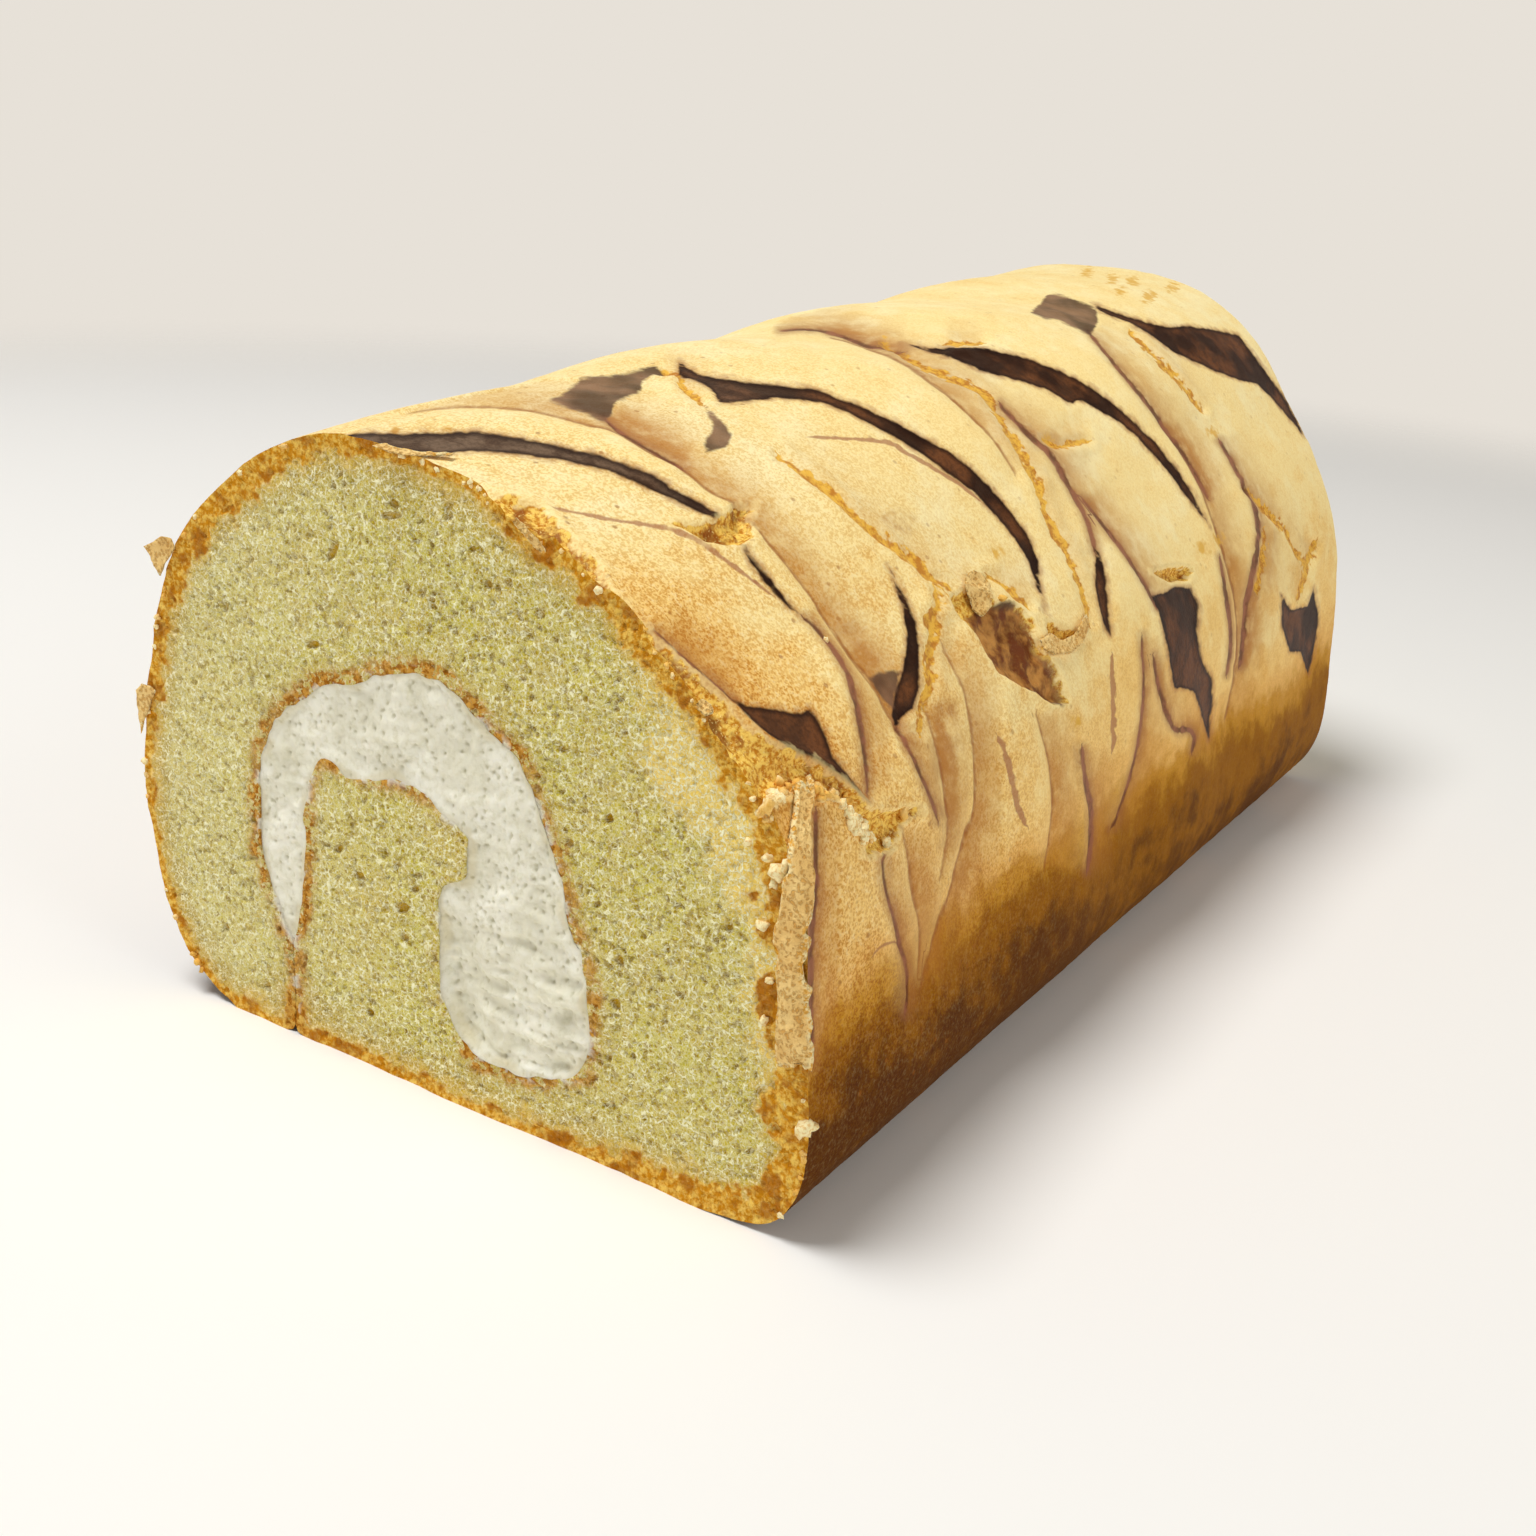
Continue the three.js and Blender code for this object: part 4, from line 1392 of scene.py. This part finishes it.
def make_scraps(carrier):
    """Curled edges and torn scraps of skin, each a thin shell."""
    all_places, all_faces, edges = [], [], []
    total = 0
    for number, (outline, lift, spare_depth) in enumerate(SCRAPS):
        outline = np.array(outline, float)
        rim = spaced(np.vstack([outline, outline[:1]]), SCRAP_STEP)[:-1]
        rim = rim + 0.9 * np.stack([noise(rim, 5, 111 + number), noise(rim, 5, 131 + number)], axis=1)
        flat, triangles = fill_outline(rim, SCRAP_STEP)
        away = nearest_on(flat, np.vstack([rim, rim[:1]]))[0]
        reach = np.array([carrier.reach(pixel, spare_depth) for pixel in flat])
        reach = np.minimum(smooth_reach(flat, reach), reach + 0.2)
        rays = np.array([carrier.ray(pixel) for pixel in flat])
        wave = 0.25 * layered_noise(flat, 18, 151 + number, 3)
        curl = 0.35 * np.exp(-away / 4) * (1 + noise(flat, 30, 171 + number))
        top = lift + SCRAP_THICKNESS + wave + curl
        thin = SCRAP_THICKNESS * (0.35 + 0.65 * smooth_step(away, 0, 5))
        count = len(flat)
        for offset in (top, top - thin):
            all_places.append(np.array(CAMERA_PLACE) + rays * (reach - offset)[:, None])
            edges.append(away)
        start = np.arange(len(rim))
        after = np.roll(start, -1)
        sides = np.stack([start, start + count, after + count, after], axis=1)
        for block in (triangles, triangles[:, ::-1] + count, sides):
            all_faces += (block + total).tolist()
        total += 2 * count
    places = np.vstack(all_places)
    return make_mesh("skin_scraps", places, all_faces, {"edge": np.concatenate(edges)})


def scrap_material():
    shader = Shader("scrap")
    grain = shader.noise(0.6, 2, 0.7)
    fine = shader.noise(0.3, 2, 0.6)
    blotch = shader.noise(3, 2)
    colour = shader.mix(blotch.fade(0.35, 0.65), paint(250, 214, 140), paint(238, 194, 116))
    uneven = fine.fade(0.3, 0.7, -0.2, 0.2)
    dots = (shader.cells(0.6) + uneven).fade(0.22, 0.55, 1.0, 0.0)
    colour = colour.coat(dots * 0.8, (0.74, 0.55, 0.28, 1.0), "MULTIPLY")
    # The edges are golden, and brightened further as a painted highlight.
    gold = shader.mix(grain.fade(0.4, 0.6), paint(232, 170, 62), paint(255, 238, 180))
    edge = shader.stored("edge") + grain.fade(0.3, 0.7, -0.15, 0.15)
    colour = colour.coat(edge.fade(0.15, 0.75, 0.9, 0.0), gold)
    relief = fine * 0.6 + (grain - dots * 0.6)
    normal = shader.bump(relief, 0.3, 0.8)
    return shader.finish({
        "Base Color": colour, "Roughness": 0.7, "Normal": normal, "Specular IOR Level": 0.3,
    })


def make_crumbs(carrier, front_rim):
    """Crumbs of sponge along the cut's rim and where the skin tore, each a small lump of its own shape."""
    draw = np.random.default_rng(CRUMB_SEED)
    ball = bmesh.new()
    bmesh.ops.create_icosphere(ball, subdivisions=2, radius=1.0)
    shape = np.array([vertex.co for vertex in ball.verts])
    faces = np.array([[vertex.index for vertex in face.verts] for face in ball.faces])
    ball.free()
    spots = [(carrier.place((x, y), radius * 0.5), radius) for x, y, radius in CRUMB_PLACES]
    lip = spaced(np.array(LIP_LINE, float), 1.0)
    for pixel in lip[draw.integers(0, len(lip), LIP_CRUMBS)] + draw.normal(0, 3.0, (LIP_CRUMBS, 2)):
        radius = draw.uniform(0.25, 0.7)
        spots.append((carrier.place(pixel, radius * 0.2), radius))
    shown = front_rim[(front_rim[:, 2] > 3)]
    for place in shown[draw.integers(0, len(shown), RIM_CRUMBS)]:
        spots.append((place * (0.993, 1, 0.993) + draw.normal(0, 0.12, 3), draw.uniform(0.2, 0.45)))
    all_places, all_faces = [], []
    for number, (middle, radius) in enumerate(spots):
        lump = shape * (1 + 0.55 * noise(shape + number * 9.0, 0.55, 201))[:, None]
        lump = lump * radius * draw.uniform(0.7, 1.25, 3)
        all_faces.append(faces + len(shape) * number)
        all_places.append(lump + middle)
    return make_mesh("crumbs", np.vstack(all_places), np.vstack(all_faces))


def crumbs_material():
    shader = Shader("crumbs")
    grain = shader.noise(0.4, 2, 0.6)
    broad = shader.noise(9, 2)
    colour = shader.mix(broad.fade(0.5, 0.6), paint(254, 240, 186), paint(240, 190, 90))
    colour = colour.coat(grain.fade(0.45, 0.65, 0.0, 0.6), paint(222, 164, 60))
    return shader.finish({
        "Base Color": colour, "Roughness": 0.85, "Normal": shader.bump(grain, 0.2, 0.7),
    })


# ---------------------------------------------------------------------------------------------------------
# Stage

FLOOR_RADIUS = 1.6
WHITE_RADIUS = 0.42
GREY_RADIUS = 0.62
FLOOR_TURNS = 96
WALL_COLOUR = paint(231, 225, 216)


def make_stage():
    """A round pale floor that fades into the backdrop's colour further out."""
    turns = np.linspace(0, 2 * np.pi, FLOOR_TURNS, endpoint=False)
    rings = np.array([0.05, 0.2, WHITE_RADIUS, GREY_RADIUS, FLOOR_RADIUS]) / MM
    circle = np.stack([np.cos(turns), np.sin(turns), 0 * turns], axis=1)
    places = np.vstack([np.zeros((1, 3))] + [radius * circle for radius in rings])
    start = np.arange(FLOOR_TURNS) + 1
    after = np.roll(start, -1)
    faces = [(0, near, far) for near, far in zip(start.tolist(), after.tolist())]
    for inner in range(0, FLOOR_TURNS * (len(rings) - 1), FLOOR_TURNS):
        outer = inner + FLOOR_TURNS
        faces += np.stack([start + inner, start + outer, after + outer, after + inner], axis=1).tolist()
    floor = make_mesh("floor", places, faces, smooth=False)
    shader = Shader("floor")
    length = shader.value("VectorMath", {0: shader.coordinates}, "Value", operation="LENGTH")
    sheen = shader.value("BsdfDiffuse", {"Color": paint(246, 245, 242)})
    clear = shader.value("BsdfTransparent")
    fade = length.fade(WHITE_RADIUS, GREY_RADIUS)
    mixed = shader.value("MixShader", {0: fade, 1: sheen, 2: clear})
    floor.data.materials.append(shader.surface(mixed))


def make_light(name, place, target, size, power, colour=(1, 1, 1)):
    lamp = bpy.data.lights.new(name, "AREA")
    lamp.shape = "DISK"
    lamp.size = size
    lamp.energy = power
    lamp.color = colour
    holder = bpy.data.objects.new(name, lamp)
    holder.location = place
    direction = Vector(target) - Vector(place)
    holder.rotation_euler = direction.to_track_quat("-Z", "Y").to_euler()
    bpy.context.scene.collection.objects.link(holder)


def make_lights():
    """A backdrop that is bright round the horizon and dimmer overhead, and one soft lamp from above."""
    world = bpy.data.worlds.new("backdrop")
    world.use_nodes = True
    nodes, links = world.node_tree.nodes, world.node_tree.links
    background = nodes["Background"]
    background.inputs["Color"].default_value = WALL_COLOUR
    direction = nodes.new("ShaderNodeTexCoord").outputs["Generated"]
    height = nodes.new("ShaderNodeSeparateXYZ")
    links.new(direction, height.inputs[0])
    fade = nodes.new("ShaderNodeMapRange")
    fade.interpolation_type = "SMOOTHSTEP"
    for socket, value in ((1, 0.14), (2, 0.5), (3, 1.0), (4, 0.26)):
        fade.inputs[socket].default_value = value
    links.new(height.outputs[2], fade.inputs[0])
    links.new(fade.outputs[0], background.inputs["Strength"])
    bpy.context.scene.world = world
    make_light("key", (-0.24, -0.26, 0.92), (0, 0, 0.04), 0.42, 7.2)
    make_light("fill", (0.95, -0.1, 0.5), (0, 0, 0.04), 0.7, 2.4, (1.0, 0.98, 0.94))


def make_camera():
    camera = bpy.data.cameras.new("camera")
    camera.lens = CAMERA_LENS
    camera.sensor_width = SENSOR
    camera.clip_start = 0.01
    camera.clip_end = 10
    holder = bpy.data.objects.new("camera", camera)
    right, up, back = camera_axes()
    turn = Matrix([right, up, back]).transposed().to_4x4()
    holder.matrix_world = Matrix.Translation(Vector(CAMERA_PLACE) * MM) @ turn
    bpy.context.scene.collection.objects.link(holder)
    bpy.context.scene.camera = holder


def main():
    make_camera()
    make_lights()
    make_stage()
    bpy.context.scene.view_settings.view_transform = "Standard"
    skin, line, front_rim, rear_rim, rim_torn = make_skin()
    skin.data.materials.append(skin_material())
    crumb = make_crumb(line, front_rim, rear_rim, rim_torn)
    crumb.data.materials.append(crumb_material())
    cream = make_cream()
    cream.data.materials.append(cream_material())
    carrier = Carrier([skin, crumb, cream])
    scraps = make_scraps(carrier)
    flap = make_flap(line)
    paper = scrap_material()
    scraps.data.materials.append(paper)
    flap.data.materials.append(paper)
    crumbs = make_crumbs(carrier, front_rim)
    crumbs.data.materials.append(crumbs_material())
    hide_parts("sponge")
    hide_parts("sponge")
    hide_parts("cream")
    for piece in (skin, crumb, cream, scraps, flap, crumbs):
        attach(piece, "root")


main()
